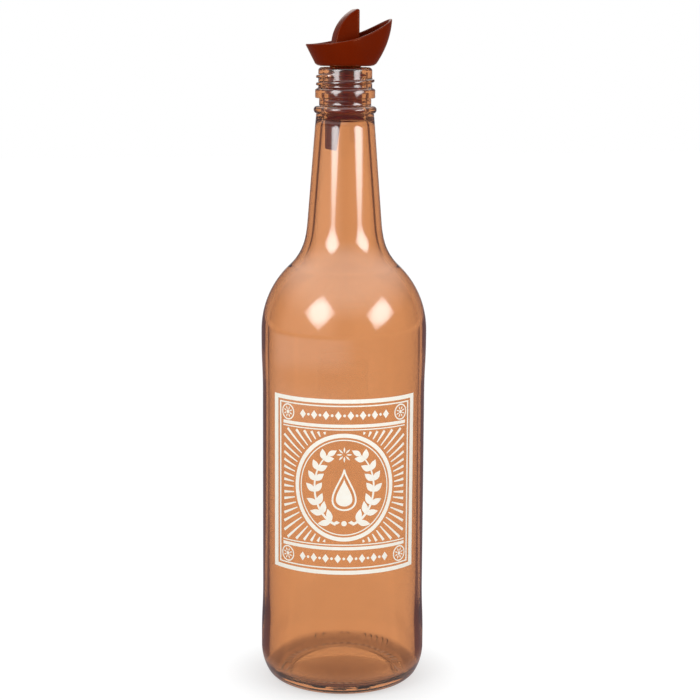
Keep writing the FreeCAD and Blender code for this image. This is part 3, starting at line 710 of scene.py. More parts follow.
square = even_outline(np.array([[0.0, 0.0], [6.0, 0.0], [6.0, 6.0], [0.0, 6.0]]), 0.6)
print("a 6 mm square with a point every 0.6 mm has", len(square), "points")

# %% [markdown]
# ## Ears and stop bar
#
# Two ears stand on the cup's floor, and the flap's pins turn in them. A bar between them stops
# the flap when it has swung open. On the real pourer they are one moulding with the cup, so
# they ride with it. Here the ears are closed plates that the pins run into, because nobody sees
# a bearing's inside.

# %% Ears and stop bar
HINGE = (4.0, 10.8)  # forward of the axis, and above the cup's underside
EAR_ASIDE, EAR_HALF, BAR_HALF = 6.05, 0.8, 5.9
ear = even_outline(outline(
    [9.8, 1.0], [9.8, 12.45], arc(HINGE, 1.8, 72, 180, 12), [2.2, 1.0],
), 0.6)
ears = [upright_plate(ear, EAR_HALF, 0.25, offset=side * EAR_ASIDE) for side in (-1, 1)]
bar = even_outline(np.array([[8.2, 10.45], [9.8, 10.45], [9.8, 12.45], [8.2, 12.45]]), 0.4)
bar = upright_plate(bar, BAR_HALF, 0.2)
print("the ears stand", round(float(ear[:, 1].max()), 2), "mm above the cup's underside")

# %% [markdown]
# ## The floor with its holes
#
# The floor has two holes: the oil way, which the nozzle stands round, and the small air way
# behind it. Blender fills a flat curve that lies inside another as a hole, so the floor is three
# closed curves with a thickness, made a mesh at once.

# %% The floor with its holes
def flat_plate(name, outlines, low, high):
    """A filled flat curve with holes, given a thickness and moved to its height."""
    curve = bpy.data.curves.new(name, "CURVE")
    curve.dimensions, curve.fill_mode = "2D", "BOTH"
    for points in outlines:
        spline = curve.splines.new("POLY")
        spline.points.add(len(points) - 1)
        flat = np.column_stack([points * MM, np.zeros(len(points)), np.ones(len(points))])
        spline.points.foreach_set("co", flat.ravel())
        spline.use_cyclic_u = True
    curve.extrude = (high - low) / 2 * MM
    holder = bpy.data.objects.new(name, curve)
    mesh = bpy.data.meshes.new_from_object(holder)
    bpy.data.objects.remove(holder)
    mesh.transform(Matrix.Translation((0, 0, (low + high) / 2 * MM)))
    piece = bpy.data.objects.new(name, mesh)
    bpy.context.scene.collection.objects.link(piece)
    return piece


circle = arc((0, 0), 1.0, 0, 360, 49)[:-1]
OIL_WAY, AIR_WAY = (1.4, 0.0), (-4.3, 0.0)
OIL_RADIUS, AIR_RADIUS = 2.8, 1.2
HAIR = 0.01  # keeps the floor's faces off the shell's, so that no two lie in one plane
floor_x, floor_y = egg(np.full((1, 1), CUP_FLOOR), FLOOR_EDGE - 0.3)
floor_outline = np.stack([floor_x[0], floor_y[0]], axis=1)
cup_floor = flat_plate(
    "cup_floor",
    [floor_outline, circle * OIL_RADIUS + OIL_WAY, circle * AIR_RADIUS + AIR_WAY],
    CUP_FOOT + HAIR, CUP_FOOT + CUP_FLOOR - HAIR,
)
print("cup_floor:", len(cup_floor.data.polygons), "faces")

# %% [markdown]
# ## The core and the nozzle
#
# Below the cup is the core that the stopper grips, with a flange that keeps the stopper on.
# Above the floor the nozzle stands up to the flap. The nozzle isn't on the axis, so a row here
# is a circle with its own middle, radius and height. One closed outline goes down the outside,
# under the flange, and up the oil way.

# %% The core
def circles(rows, count=72):
    """Rows of circles from (middle x, radius, height, slant): the height falls along +x by the
    slant times the distance from the middle."""
    middle, radius, height, slant = [column[:, None] for column in np.array(rows, float).T]
    angle = even_angles(count)
    x = middle + radius * np.cos(angle)
    return np.stack([x, radius * np.sin(angle), height - slant * (x - middle)], axis=2)


def ring_rows(points, middle=0.0):
    """(radius, height above the cup's underside) as rows of circles about one middle."""
    points = np.atleast_2d(points)
    return [(middle, r, CUP_FOOT + h, 0.0) for r, h in points]


nozzle_rows = ring_rows(arc((3.5, 8.3), 0.7, 180, 0, 11)[::-1], OIL_WAY[0]) + ring_rows(
    [[4.2, 7.0], [4.2, 5.0], [4.2, 3.0], [4.3, 2.4], [4.6, 2.05], [5.0, 1.9]], OIL_WAY[0])
barrel_rows = ring_rows([
    [7.25, 0.6], [7.25, -2.3], [7.0, -2.6], [6.5, -2.65], [6.5, -12], [6.5, -22.3], [6.7, -22.4],
    [9.2, -22.4], [9.4, -22.55], [9.45, -22.8], [9.45, -23.4], [9.3, -23.7], [9.0, -23.8],
])
oil_way_rows = ring_rows([[OIL_RADIUS, up] for up in (-23.8, -18, -10, -4, 2, 5, 7.5)], OIL_WAY[0])
core = circles(nozzle_rows + barrel_rows + oil_way_rows)[::-1]
pourer_core = skin("pourer_core", core, poles=False)
pourer_bearings = skin("pourer_bearings", ears + [bar])
for piece in (cup_shell, cup_floor, pourer_core, pourer_bearings):
    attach(piece, "pourer")
    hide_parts("pourer_cup")

# %% [markdown]
# ## The air tube
#
# A tapering tube hangs from the core and lets air in behind the oil. It leans away from the
# middle and its end is cut slanting, so oil drips off one point. The same circles make it, with
# the slant growing from nought at the flange to its full thirteen degrees at the end.

# %% The air tube
SLANT = np.tan(np.radians(13.0))
TUBE_TOP, TUBE_END = -23.8, -39.3  # heights above the cup's underside
TUBE_MIDDLE, TUBE_RADIUS, TAPER = -5.65, 3.8, 1.1
TUBE_WALL, TUBE_ROUND = 0.8, 0.15


def tube_rows(inset, shares):
    """Rows down the tube: middle, radius and height run evenly from top to end, less the wall's
    inset, and the slant grows with them."""
    middle = TUBE_MIDDLE - TAPER * shares
    radius = TUBE_RADIUS - TAPER * shares - inset
    end = TUBE_END + SLANT * (TUBE_RADIUS - TAPER)
    height = CUP_FOOT + TUBE_TOP + shares * (end - TUBE_TOP)
    return np.stack([middle, radius, height, SLANT * shares], axis=1)


down, tip_share = np.linspace(0, 1, 14), np.array([1.005])
tube = np.concatenate([
    tube_rows(0.0, down), tube_rows(TUBE_ROUND, tip_share),
    tube_rows(TUBE_WALL - TUBE_ROUND, tip_share), tube_rows(TUBE_WALL, down[::-1]),
])
tube[0, 2] = tube[-1, 2] = CUP_FOOT + TUBE_TOP
air_tube = skin("air_tube_hanging", circles(tube)[::-1], poles=False)
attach(air_tube, "pourer")
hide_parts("air_tube")

# %% [markdown]
# ## The flap
#
# The flap is a thick plate with a curved back that stands up out of the cup like a sail. Its
# weight is above and behind the hinge, so it stays shut on a standing bottle. Two trunnions turn
# in the ears, and a nub under it closes the nozzle. They are one moulding, so they are one mesh
# here, made of three closed shapes that run into each other. The two trunnions are the ends of
# one pin, which goes through the plate.

# %% The flap
FLAP_BACK, FLAP_BACK_RADIUS = np.array((13.15, 9.2)), 18.97  # the back's circle
FLAP_FRONT, BOSS = 5.6, 1.6  # x of the straight front edge, and the hinge boss's radius
TIP_RADIUS, HEEL_RADIUS = 0.9, 0.8
FLAP_HALF, FLAP_ROUND, PIN_HALF = 5.0, 0.7, 6.8

tip_reach, heel_reach = FLAP_BACK_RADIUS - TIP_RADIUS, FLAP_BACK_RADIUS - HEEL_RADIUS
tip_back = FLAP_BACK[0] - (FLAP_FRONT - TIP_RADIUS)
tip = FLAP_BACK + (-tip_back, np.sqrt(tip_reach**2 - tip_back**2))
touch = np.degrees(np.arctan2(tip[1] - FLAP_BACK[1], tip[0] - FLAP_BACK[0]))
heel_angle = np.degrees(np.arcsin(HEEL_RADIUS / heel_reach))
flap_heel = FLAP_BACK + (-heel_reach * np.cos(np.radians(heel_angle)), HEEL_RADIUS)
flap_side = outline(
    arc(HINGE, BOSS, -90, 0, 8),
    [FLAP_FRONT, 12.0], [FLAP_FRONT, 20.0], arc(tip, TIP_RADIUS, 0, touch, 9),
    arc(FLAP_BACK, FLAP_BACK_RADIUS, touch, 180 - heel_angle, 40),
    arc(flap_heel, HEEL_RADIUS, 180 - heel_angle, 270, 7),
)
flap_side = even_outline(flap_side, 0.7)
sail = upright_plate(flap_side, FLAP_HALF, FLAP_ROUND, rings=6, bends=7)
pin = upright_plate(circle + HINGE, PIN_HALF, 0.15)
nub_outline = [(0, 8.0), (0.8, 8.0), (1.3, 8.05), (1.5, 8.2), (2.45, 9.25), (2.5, 9.5), (0, 9.6)]
nub = circles([(OIL_WAY[0], radius, CUP_FOOT + up, 0) for radius, up in nub_outline], 40)
pour_flap = skin("pour_flap_sail", [sail, pin, nub])
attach(pour_flap, "flap")
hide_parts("pour_flap")

# %% [markdown]
# ## The print
#
# The panel carries a cream print baked on the glass, a few hundredths of a millimetre thick. The
# design is a plain ornamental label with no words: a square double border with a rosette in each
# corner, rows of lozenges, and an oval with a drop of oil between two olive sprigs, on a ground
# of fine rays. A picture laid on the glass would blur when looked at closely, so every mark is
# a thin solid. It is drawn flat, in millimetres, and wrapped round the panel: the distance
# sideways becomes an angle.

# %% Wrapping round the panel
PRINT_TURN = -pi / 2 - TURN + radians(1.0)
PRINT_MIDDLE = 102.6  # height of the label's middle
INK_LOW, INK_HIGH = -0.015, 0.05  # it starts a hair inside the glass, so that no gap shows


def wrapped(grid):
    """Flat (sideways, up, out) points on the panel: the angle is the sideways distance over the
    panel's radius, and the distance from the axis is that radius plus out."""
    angle = PRINT_TURN + grid[:, :, 0] / PANEL
    radius = PANEL + grid[:, :, 2]
    up = PRINT_MIDDLE + grid[:, :, 1]
    return np.stack([radius * np.cos(angle), radius * np.sin(angle), up], axis=2)


print(f"one millimetre sideways on the panel is {np.degrees(1 / PANEL):.2f} degrees")

# %% [markdown]
# ## Strokes and filled shapes
#
# A printed mark is either a stroke along a path or a small filled shape. A stroke is a ribbon
# with four long edges, so its grid has one row for each point of the path, and its width may
# change on the way. A filled shape is its outline and shrunk copies of it, below and above.
# Blender's own text and curves could do it too, but they would have to be bent round the bottle
# afterwards, and grids of points are wrapped as they are.

# %% Strokes and filled shapes
def stroke(path, width, closed=False):
    """A flat ribbon along a path, as a plate whose outline is the path moved to one side and back
    along the other. Width may be one number or one for each point. A closed path is a ring."""
    path = np.asarray(path, float)
    width = np.broadcast_to(np.asarray(width, float), len(path))[:, None] / 2
    if closed:
        tangent = np.roll(path, -1, axis=0) - np.roll(path, 1, axis=0)
    else:
        tangent = np.gradient(path, axis=0)
    side = np.stack([tangent[:, 1], -tangent[:, 0]], axis=1)
    side /= np.linalg.norm(side, axis=1, keepdims=True)
    left, right = path - side * width, path + side * width
    layers = [(left, INK_LOW), (left, INK_HIGH), (right, INK_HIGH), (right, INK_LOW)]
    return layered(layers).transpose(1, 0, 2)


def fill(points, rings=4):
    """A flat filled shape: rings shrunk towards its middle, on the lower side and the upper."""
    points = np.asarray(points, float)
    middle = points.mean(axis=0)
    shares = np.linspace(0, 1, rings)
    rows = [(middle + share * (points - middle), INK_LOW) for share in shares]
    rows += [(middle + share * (points - middle), INK_HIGH) for share in shares[::-1]]
    return layered(rows)


def capped(strip):
    """An open ribbon with both ends shut: the first and last rows repeated, shrunk to a point."""
    first, last = [end.mean(axis=1, keepdims=True) for end in (strip[:1], strip[-1:])]
    return np.concatenate([np.repeat(first, 4, axis=1), strip, np.repeat(last, 4, axis=1)])


def mirrored(points):
    """The same points on the other side of the middle line, in the other order."""
    return (np.asarray(points) * (-1, 1))[::-1]


dash = stroke([[0, 0], [1, 0], [2, 0]], 0.5)
print(f"a stroke of 3 points has {dash.shape[0]} rows of {dash.shape[1]} points")

# %% [markdown]
# ## The border
#
# The border is a broad frame with a fine one inside it. A frame drawn as one closed stroke would
# be pinched at its corners, so each is four straight bars that meet square. The label's sides
# turn away from whoever looks at its middle, so the upright bars are printed wider.

# %% The border
HALF_WIDE, HALF_TALL = 38.2, 41.5
BROAD, FINE = (2.8, 1.9), (0.9, 0.6)  # widths of the upright and of the level bars
FINE_IN = (4.6, 3.2)  # how far the fine frame's middle is in from the label's edge


def frame_bars(wide, tall, upright, flat):
    """Four straight bars that meet square at the corners: two upright ones of one width and two
    level ones of another."""
    long, short = tall + flat / 2, wide - upright / 2
    bars = []
    for side in (-1, 1):
        bars.append((np.linspace([side * wide, -long], [side * wide, long], 48), upright))
        bars.append((np.linspace([-short, side * tall], [short, side * tall], 48), flat))
    return [capped(stroke(path, width)) for path, width in bars]


marks = frame_bars(HALF_WIDE - BROAD[0] / 2, HALF_TALL - BROAD[1] / 2, *BROAD)
marks += frame_bars(HALF_WIDE - FINE_IN[0], HALF_TALL - FINE_IN[1], *FINE)
print("the border is", len(marks), "bars")

# %% [markdown]
# ## Ornaments
#
# Petals, round spots and lozenges are the printer's stock in trade. Each is a few points, so it is
# worked out from its middle and size wherever it stands, and a change of size is one number.

# %% Ornaments
def pointed(spine, half, along, side):
    """A closed outline round a straight spine: out along one side of it and back on the other."""
    middle_line, swell = np.outer(spine, along), np.outer(half, side)
    return np.concatenate([middle_line - swell, (middle_line + swell)[-2:0:-1]])


def petals(middle, count, inner, outer, turn=0.0):
    """Petals round a point: each is a pointed oval whose half width is a sine along its length."""
    shapes = []
    t = np.linspace(0, 1, 9)
    for k in range(count):
        angle = turn + 2 * np.pi * k / count
        along = np.array([np.cos(angle), np.sin(angle)])
        side = np.array([-along[1], along[0]])
        spine = inner + (outer - inner) * t
        half = 0.42 * np.pi * (inner + outer) / 2 / count * np.sin(np.pi * t)
        shapes.append(pointed(spine, half, along, side) + middle)
    return shapes


def round_spot(middle, radius, count=20):
    """A filled circle."""
    return arc(middle, radius, 0, 360, count + 1)[:-1]


def lozenge(middle, wide, tall):
    """A diamond with points along its sides."""
    corners = np.array([[0, -tall], [wide, 0], [0, tall], [-wide, 0]]) + middle
    return even_outline(corners, 0.6)


print("a petal, a spot and a lozenge have", len(petals((0, 0), 1, 1.0, 2.75)[0]),
      len(round_spot((0, 0), 0.85)), "and", len(lozenge((0, 0), 1.55, 2.1)), "points")

# %% [markdown]
# ## Rows and corners
#
# Rows of lozenges and spots run along the top and the bottom of the label, with a rosette at each
# end, and two lines shut them off from the field between. From here on three lists grow: filled
# shapes, open strokes and closed loops.

# %% Rows and corners
fills, strokes, loops = [], [], []
CORNER_X, CORNER_Y = 28.6, 33.9  # where the rosettes are, from the label's middle
BOX_WIDE, BAND = 31.6, 29.0  # half width of the inner field, and height of the lines over it
PETALS, PETAL_FROM, PETAL_TO, ROSETTE_RING = 8, 1.0, 2.75, 3.5
LOZENGE, LOZENGES, LOZENGE_REACH = (1.55, 2.1), 8, 20.0
SPOT, SPOT_REACH = 0.65, 17.14  # the spots stand between the lozenges
for across_sign in (-1, 1):
    for up_sign in (-1, 1):
        corner = (across_sign * CORNER_X, up_sign * CORNER_Y)
        fills += petals(corner, PETALS, PETAL_FROM, PETAL_TO, np.pi / PETALS)
        fills.append(round_spot(corner, 0.85))
        loops.append((arc(corner, ROSETTE_RING, 0, 360, 41)[:-1], 0.6))
for up_sign in (-1, 1):
    for place in np.linspace(-LOZENGE_REACH, LOZENGE_REACH, LOZENGES):
        fills.append(lozenge((place, up_sign * CORNER_Y), *LOZENGE))
    for place in np.linspace(-SPOT_REACH, SPOT_REACH, LOZENGES - 1):
        fills.append(round_spot((place, up_sign * CORNER_Y), SPOT, 12))
    for up, width in ((BAND, 1.5), (BAND - 1.7, 0.5)):
        ends = [-BOX_WIDE, up_sign * up], [BOX_WIDE, up_sign * up]
        strokes.append((np.linspace(*ends, 40), width))
print(len(fills), "filled shapes and", len(strokes) + len(loops), "strokes so far")

# %% [markdown]
# ## Oval and rays
#
# An oval holds the middle of the label, and fine rays fill the field round it. A ray runs from
# the oval to the box, whichever side of the box it meets first, and grows wider on its way out,
# so the ground looks even.

# %% Oval and rays
OVAL_WIDE, OVAL_TALL = 23.0, 24.6
RAYS, RAY_GAP = 64, 2.1


def oval(wide, tall, count=96):
    """An ellipse: wide times cosine and tall times sine of even angles."""
    angle = even_angles(count)
    return np.stack([wide * np.cos(angle), tall * np.sin(angle)], axis=1)


loops.append((oval(OVAL_WIDE, OVAL_TALL), 1.9))
loops.append((oval(OVAL_WIDE - 2.1, OVAL_TALL - 2.1), 0.5))


def ray(angle):
    """A ray from just outside the oval to just inside the box round it, whichever side it meets
    first, or nothing where there is no room."""
    way = np.array([np.cos(angle), np.sin(angle)])
    start = 1 / np.hypot(way[0] / (OVAL_WIDE + RAY_GAP), way[1] / (OVAL_TALL + RAY_GAP))
    to_side, to_top = np.array((BOX_WIDE - 0.6, BAND - 2.9)) / np.maximum(np.abs(way), 1e-9)
    end = min(to_side, to_top)
    return None if end - start < 0.8 else np.linspace(way * start, way * end, 8)


for k in range(RAYS):
    path = ray(2 * np.pi * (k + 0.5) / RAYS)
    if path is not None:
        strokes.append((path, np.linspace(0.5, 1.25, len(path))))
print(len(strokes), "strokes with the rays")

# %% [markdown]
# ## Drop
#
# In the middle of the oval hangs a drop of oil: a solid drop with a line round it. One formula
# gives both, a circle that is squeezed more and more towards the top until it ends in a point.

# %% Drop
def teardrop(wide, tall, low):
    """A drop with its point up: going round, the half width is a sine times the square of the
    half angle's sine, which keeps it narrow at the top, and the height is a cosine."""
    t = even_angles(48)[::-1]
    sideways = wide * 1.3 * np.sin(t) * np.sin(t / 2) ** 2
    return np.stack([sideways, low + tall * (1 + np.cos(t))], axis=1)


loops.append((teardrop(6.4, 9.6, -10.6), 0.8))
fills.append(teardrop(4.5, 6.6, -8.8))
drop_wide, drop_tall = np.ptp(loops[-1][0], axis=0)
print(f"the drop's line is {drop_wide:.1f} mm wide and {drop_tall:.1f} mm tall")

# %% [markdown]
# ## Sprigs
#
# Two olive sprigs stand round the drop. A leaf is a spine with a half width that swells and
# closes like a sine, and a sprig is a piece of an ellipse with pairs of leaves that get shorter
# towards its tip. Only the right sprig is worked out; the left is its mirror image, with its
# points in the other order so that its faces still look outwards.

# %% Sprigs
def leaf(foot, angle, length, half):
    """A leaf from its foot in a direction: its half width is a sine along it, wider near the
    foot."""
    s = np.linspace(0, 1, 13)
    along = np.array([np.cos(angle), np.sin(angle)])
    side = np.array([-along[1], along[0]])
    swell = half * np.sin(np.pi * s**0.85)
    return np.array(foot) + pointed(length * s, swell, along, side)


STEM_POINTS, STEM_ASIDE, STEM_TALL = 40, 14.0, 18.2
LEAF_LEAN, LEAF_LONG, LEAF_SHORTER, LEAF_HALF = 44, 6.6, 1.6, 1.45
stem_turn = np.radians(np.linspace(-74, 56, STEM_POINTS))
stem = np.stack([STEM_ASIDE * np.cos(stem_turn), STEM_TALL * np.sin(stem_turn)], axis=1)
thinning = np.linspace(1.2, 0.6, STEM_POINTS)
strokes += [(stem, thinning), (mirrored(stem), thinning[::-1])]
for share in np.linspace(0.1, 0.93, 7):
    at = int(share * (STEM_POINTS - 1))
    ahead = stem[min(at + 1, STEM_POINTS - 1)] - stem[max(at - 1, 0)]
    head = np.degrees(np.arctan2(ahead[1], ahead[0]))
    for lean in (-LEAF_LEAN, LEAF_LEAN):
        length = LEAF_LONG - LEAF_SHORTER * share
        shape = leaf(stem[at], np.radians(head + lean), length, LEAF_HALF)
        fills += [shape, mirrored(shape)]
tip_leaf = leaf(stem[-1], np.radians(150), 5.0, 1.25)
fills += [tip_leaf, mirrored(tip_leaf)]
fills += petals((0, 15.6), 8, 0.9, 3.6)
fills.append(round_spot((0, -17.0), 1.25))
fills += [lozenge((side * 3.4, -16.6), 1.5, 0.9) for side in (-1, 1)]
print(len(fills), "filled shapes,", len(strokes), "strokes and", len(loops), "loops in all")

# %% [markdown]
# ## The print as two pieces
#
# Filled shapes and open strokes end in single points, and closed loops don't, so they make two
# pieces. Both are shaded flat: smooth shading would round the ink's sharp edges and make it look
# embossed. They ride the bottle but replace nothing, because the CAD model has no ink.

# %% The print as two pieces
poled = [wrapped(fill(shape)) for shape in fills]
poled += [wrapped(capped(stroke(path, width))) for path, width in strokes]
poled += [wrapped(bars) for bars in marks]
print_panel = skin("printed_panel", poled, smooth=False)
rings = [wrapped(stroke(path, width, closed=True)) for path, width in loops]
print_loops = skin("printed_rings", rings, poles=False, smooth=False)
for piece in (print_panel, print_loops):
    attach(piece, "bottle")

# %% [markdown]
# ## Helpers for the finishes
#
# A finish is a small network of nodes on Blender's own shader. A value that doesn't vary is set
# on the shader's own socket, because an exported model keeps it only there. Short helpers for a
# new finish, a new node and a shader's values keep the recipes below short as well.

# %% Helpers for the finishes
def finish(name):
    """A new material and its shader."""
    material = bpy.data.materials.new(name)
    material.use_nodes = True
    return material, material.node_tree.nodes["Principled BSDF"]


def node(material, kind, **values):
    """Adds a node and sets its inputs by name."""
    made = material.node_tree.nodes.new(kind)
    for key, value in values.items():
        made.inputs[key].default_value = value
    return made


def settle(shader, **values):
    """Sets the shader's own sockets by name, with spaces for the underscores."""
    for key, value in values.items():
        shader.inputs[key.replace("_", " ")].default_value = value


print("helpers: finish, node, settle")

# %% [markdown]
# ## What makes a surface uneven
#
# No real surface is the same all over, and a drawing of one gives itself away by being so. Three
# things are enough here: a noise that sits still on the piece, a height that tilts the surface a
# little, and a colour or a roughness that wanders between two close values. Painted maps would
# show more, but they would have to be laid out for every piece and carried along as pictures.

# %% What makes a surface uneven
def noise(material, scale, detail=2.0, stretch=(1, 1, 1)):
    """Noise on object coordinates, with its own stretch along each axis."""
    where = node(material, "ShaderNodeTexCoord")
    mapping = node(material, "ShaderNodeMapping", Scale=stretch)
    grain = node(material, "ShaderNodeTexNoise", Scale=scale, Detail=detail)
    material.node_tree.links.new(where.outputs["Object"], mapping.inputs["Vector"])
    material.node_tree.links.new(mapping.outputs["Vector"], grain.inputs["Vector"])
    return grain.outputs["Fac"]


def bump(material, shader, source, strength, distance):
    """Tilts the surface by a height that follows the source."""
    made = node(material, "ShaderNodeBump", Strength=strength, Distance=distance)
    material.node_tree.links.new(source, made.inputs["Height"])
    material.node_tree.links.new(made.outputs["Normal"], shader.inputs["Normal"])


def between(material, source, low, high, target, spread=(0.3, 0.7)):
    """Runs a colour, or a number given as a grey, from low to high with the source."""
    made = material.node_tree.nodes.new("ShaderNodeValToRGB")
    for stop, place, value in zip(made.color_ramp.elements, spread, (low, high)):
        stop.position = place
        stop.color = (*value, 1) if isinstance(value, tuple) else (value, value, value, 1)
    material.node_tree.links.new(source, made.inputs["Fac"])
    material.node_tree.links.new(made.outputs["Color"], target)


print("helpers: noise, bump, between")

# %% [markdown]
# ## Glass
#
# Clear glass is a plain glossy shader with full transmission and the bending of glass. Its colour
# here comes from a thin tinted skin on the outside, so the outside faces have a tinted glass and
# the inside faces a clear one. Light that crosses the bottle meets the tint twice, front and
# back. A tint through the whole thickness would be truer, but would turn black where the view
# runs along a wall. Pressed glass is never quite flat, so a very slow, shallow ripple bends what
# is seen through it, and the tint wanders a little in upright streaks.
#
# A hard coat over the tint makes the lamps' reflections as bright as they are on real glass, and
# its slight roughness softens their edges.

# %% Glass
UPRIGHT, RIPPLE = (1, 1, 0.3), (1, 1, 0.35)  # both noises are drawn out along the height


def glass(name, low, high):
    """Glass whose tint wanders a little between two close colours."""
    material, shader = finish(name)
    settle(shader, Roughness=0.0, IOR=1.5, Transmission_Weight=1.0)
    between(material, noise(material, 34.0, 2.0, UPRIGHT), low, high, shader.inputs["Base Color"])
    bump(material, shader, noise(material, 22.0, 1.0, RIPPLE), 0.12, 0.0006)
    return material, shader


amber_skin, shader = glass("amber_skin", (0.672, 0.262, 0.09), (0.722, 0.295, 0.112))
settle(shader, Coat_Weight=1.0, Coat_Roughness=0.14, Coat_IOR=1.75)
clear_glass, _ = glass("clear_glass", (0.985, 0.985, 0.98), (1.0, 1.0, 0.995))
print("amber with a coat outside:", amber_skin.name, "and inside:", clear_glass.name)

# %% [markdown]
# ## Plastics and enamel
#
# The pourer is glossy moulded plastic in a deep red-brown. Its gloss is tinted warm, because a
# neutral one lays a blue-grey veil on so dark a colour, and a little sheen warms its edges. The
# stopper has the same colour in a soft plastic that scatters more, and the print is matt enamel.
# Fine noise in the roughness and a shallow grain keep each from looking like a drawing.

# %% Plastics and enamel
def moulded(name, low, high, colour_grain, rough, rough_grain, grain, strength, depth):
    """A plain opaque material: its colour and its roughness each wander between two values, and
    a grain tilts its surface. A grain is a noise's scale, in waves to the metre, and depth is
    the height of the bumps in metres."""
    material, shader = finish(name)
    between(material, noise(material, colour_grain), low, high, shader.inputs["Base Color"])
    between(material, noise(material, rough_grain), *rough, shader.inputs["Roughness"])
    bump(material, shader, noise(material, grain), strength, depth)
    return material, shader


plastic, shader = moulded(
    "glossy_red_brown", (0.128, 0.0082, 0.0), (0.144, 0.0104, 0.0001), colour_grain=60.0,
    rough=(0.16, 0.22), rough_grain=300.0, grain=500.0, strength=0.08, depth=0.0002,
)
settle(shader, Specular_IOR_Level=0.25, Specular_Tint=(1.0, 0.55, 0.3, 1))
settle(shader, Sheen_Weight=0.25, Sheen_Roughness=0.3, Sheen_Tint=(1.0, 0.4, 0.06, 1))
soft, shader = moulded(
    "soft_stopper", (0.19, 0.018, 0.003), (0.23, 0.026, 0.006), colour_grain=90.0,
    rough=(0.38, 0.5), rough_grain=400.0, grain=700.0, strength=0.15, depth=0.0002,
)
settle(shader, Specular_IOR_Level=0.35)
enamel, shader = moulded(
    "cream_enamel", (0.98, 0.93, 0.82), (1.0, 0.975, 0.89), colour_grain=400.0,
    rough=(0.5, 0.6), rough_grain=900.0, grain=1500.0, strength=0.2, depth=0.00005,
)
settle(shader, Specular_IOR_Level=0.3)
print("opaque finishes:", plastic.name, soft.name, enamel.name)

# %% [markdown]
# ## Finishes on the pieces
#
# Most pieces have one finish. The glass has two, and which one a face gets follows from its row
# in the grid: rows up to the lip are outside, and the rest inside. The two poles' triangles come
# last in the mesh, so they are counted apart.

# %% Finishes on the pieces
for piece, material in (
    (stopper_sleeve, soft), (cup_shell, plastic), (cup_floor, plastic), (pourer_core, plastic),
    (pourer_bearings, plastic), (air_tube, plastic), (pour_flap, plastic), (print_panel, enamel),
    (print_loops, enamel), (bottle_glass, amber_skin), (bottle_glass, clear_glass),
):
    piece.data.materials.append(material)
columns = len(angles)
rows = np.repeat(np.arange(len(wall) - 3), columns)
rows = np.concatenate([rows, np.zeros(columns), np.full(columns, len(wall))])
is_inside = rows >= len(outside) - 1
bottle_glass.data.polygons.foreach_set("material_index", is_inside.astype(np.int32))
bottle_glass.data.update()
print(int(is_inside.sum()), "inside faces are clear")

# %% [markdown]
# ## A light that fades towards its corners
#
# A softbox is a cloth in front of a flash, brightest in its middle. Blender's area lamp is the
# same all over, and its reflection in glass looks cut out of paper. So each lamp's strength gets
# a few nodes of its own, which work out how far a point is from the middle of the cloth.

# %% A light that fades towards its corners
CORNER_LIGHT = 0.25


def soften(lamp):
    """Lets a lamp fall off from its middle: the distance from there, as a share of its sides,
    goes through a smooth step to its strength, down to CORNER_LIGHT at the corners."""
    lamp.use_nodes = True
    tree = lamp.node_tree
    place, off, fall = [tree.nodes.new("ShaderNode" + kind)
                        for kind in ("NewGeometry", "VectorMath", "MapRange")]
    off.operation, fall.interpolation_type = "DISTANCE", "SMOOTHSTEP"
    off.inputs[1].default_value = (0.5, 0.5, 0)
    keys = ("From Min", "From Max", "To Min", "To Max")
    for key, value in zip(keys, (0.25, 0.7, 1.0, CORNER_LIGHT)):
        fall.inputs[key].default_value = value
    tree.links.new(place.outputs["Parametric"], off.inputs[0])
    tree.links.new(off.outputs["Value"], fall.inputs["Value"])
    tree.links.new(fall.outputs["Result"], tree.nodes["Emission"].inputs["Strength"])


print("a softbox has", CORNER_LIGHT, "of its middle's light left at a corner")

# %% [markdown]
# ## Softboxes
#
# Two large rectangular softboxes stand left and right of the camera, above the height of the
# shoulder, each turned on a corner. The shoulder shows them as two diamonds, the foot of the neck
# as two small ones, and the neck draws each out into a long streak. Both are hidden from the
# camera and from light that goes through the glass, where they would stand in the white
# background.

# %% Softboxes
CAMERA_SIDE = -pi / 2 - TURN
RADIANCE = 5.2


def softbox(name, azimuth, elevation, wide, tall, slope, distance=450.0, aim=190.0):
    """A rectangular lamp in a direction from the shoulder: azimuth to the right of the camera's
    side and elevation above level, in degrees. Its half width and half height are angles as the
    shoulder sees them, and its width slopes up to the right. Its power is pi times its area times
    its radiance."""
    side, lift, slope = CAMERA_SIDE + radians(azimuth), radians(elevation), radians(slope)
    way = Vector((cos(lift) * cos(side), cos(lift) * sin(side), sin(lift)))
    right = Vector((-sin(side), cos(side), 0))
    top = way.cross(right)
    lamp = bpy.data.lights.new(name, "AREA")
    lamp.shape = "RECTANGLE"
    lamp.size = 2 * distance * tan(radians(wide)) * MM
    lamp.size_y = 2 * distance * tan(radians(tall)) * MM
    lamp.energy = pi * lamp.size * lamp.size_y * RADIANCE
    soften(lamp)
    holder = bpy.data.objects.new(name, lamp)
    bpy.context.scene.collection.objects.link(holder)
    across, along = cos(slope) * right + sin(slope) * top, cos(slope) * top - sin(slope) * right
    turned_to = Matrix((across, along, way)).transposed().to_4x4()
    place = (Vector((0, 0, aim)) + way * distance) * MM
    holder.matrix_world = Matrix.Translation(place) @ turned_to
    holder.visible_camera = holder.visible_transmission = False
    print(f"{name}: {lamp.size:.2f} m by {lamp.size_y:.2f} m")


softbox("left_softbox", azimuth=-35.8, elevation=23.4, wide=15.8, tall=15.8, slope=51.0)
softbox("right_softbox", azimuth=54.6, elevation=20.0, wide=18.4, tall=11.8, slope=24.0)

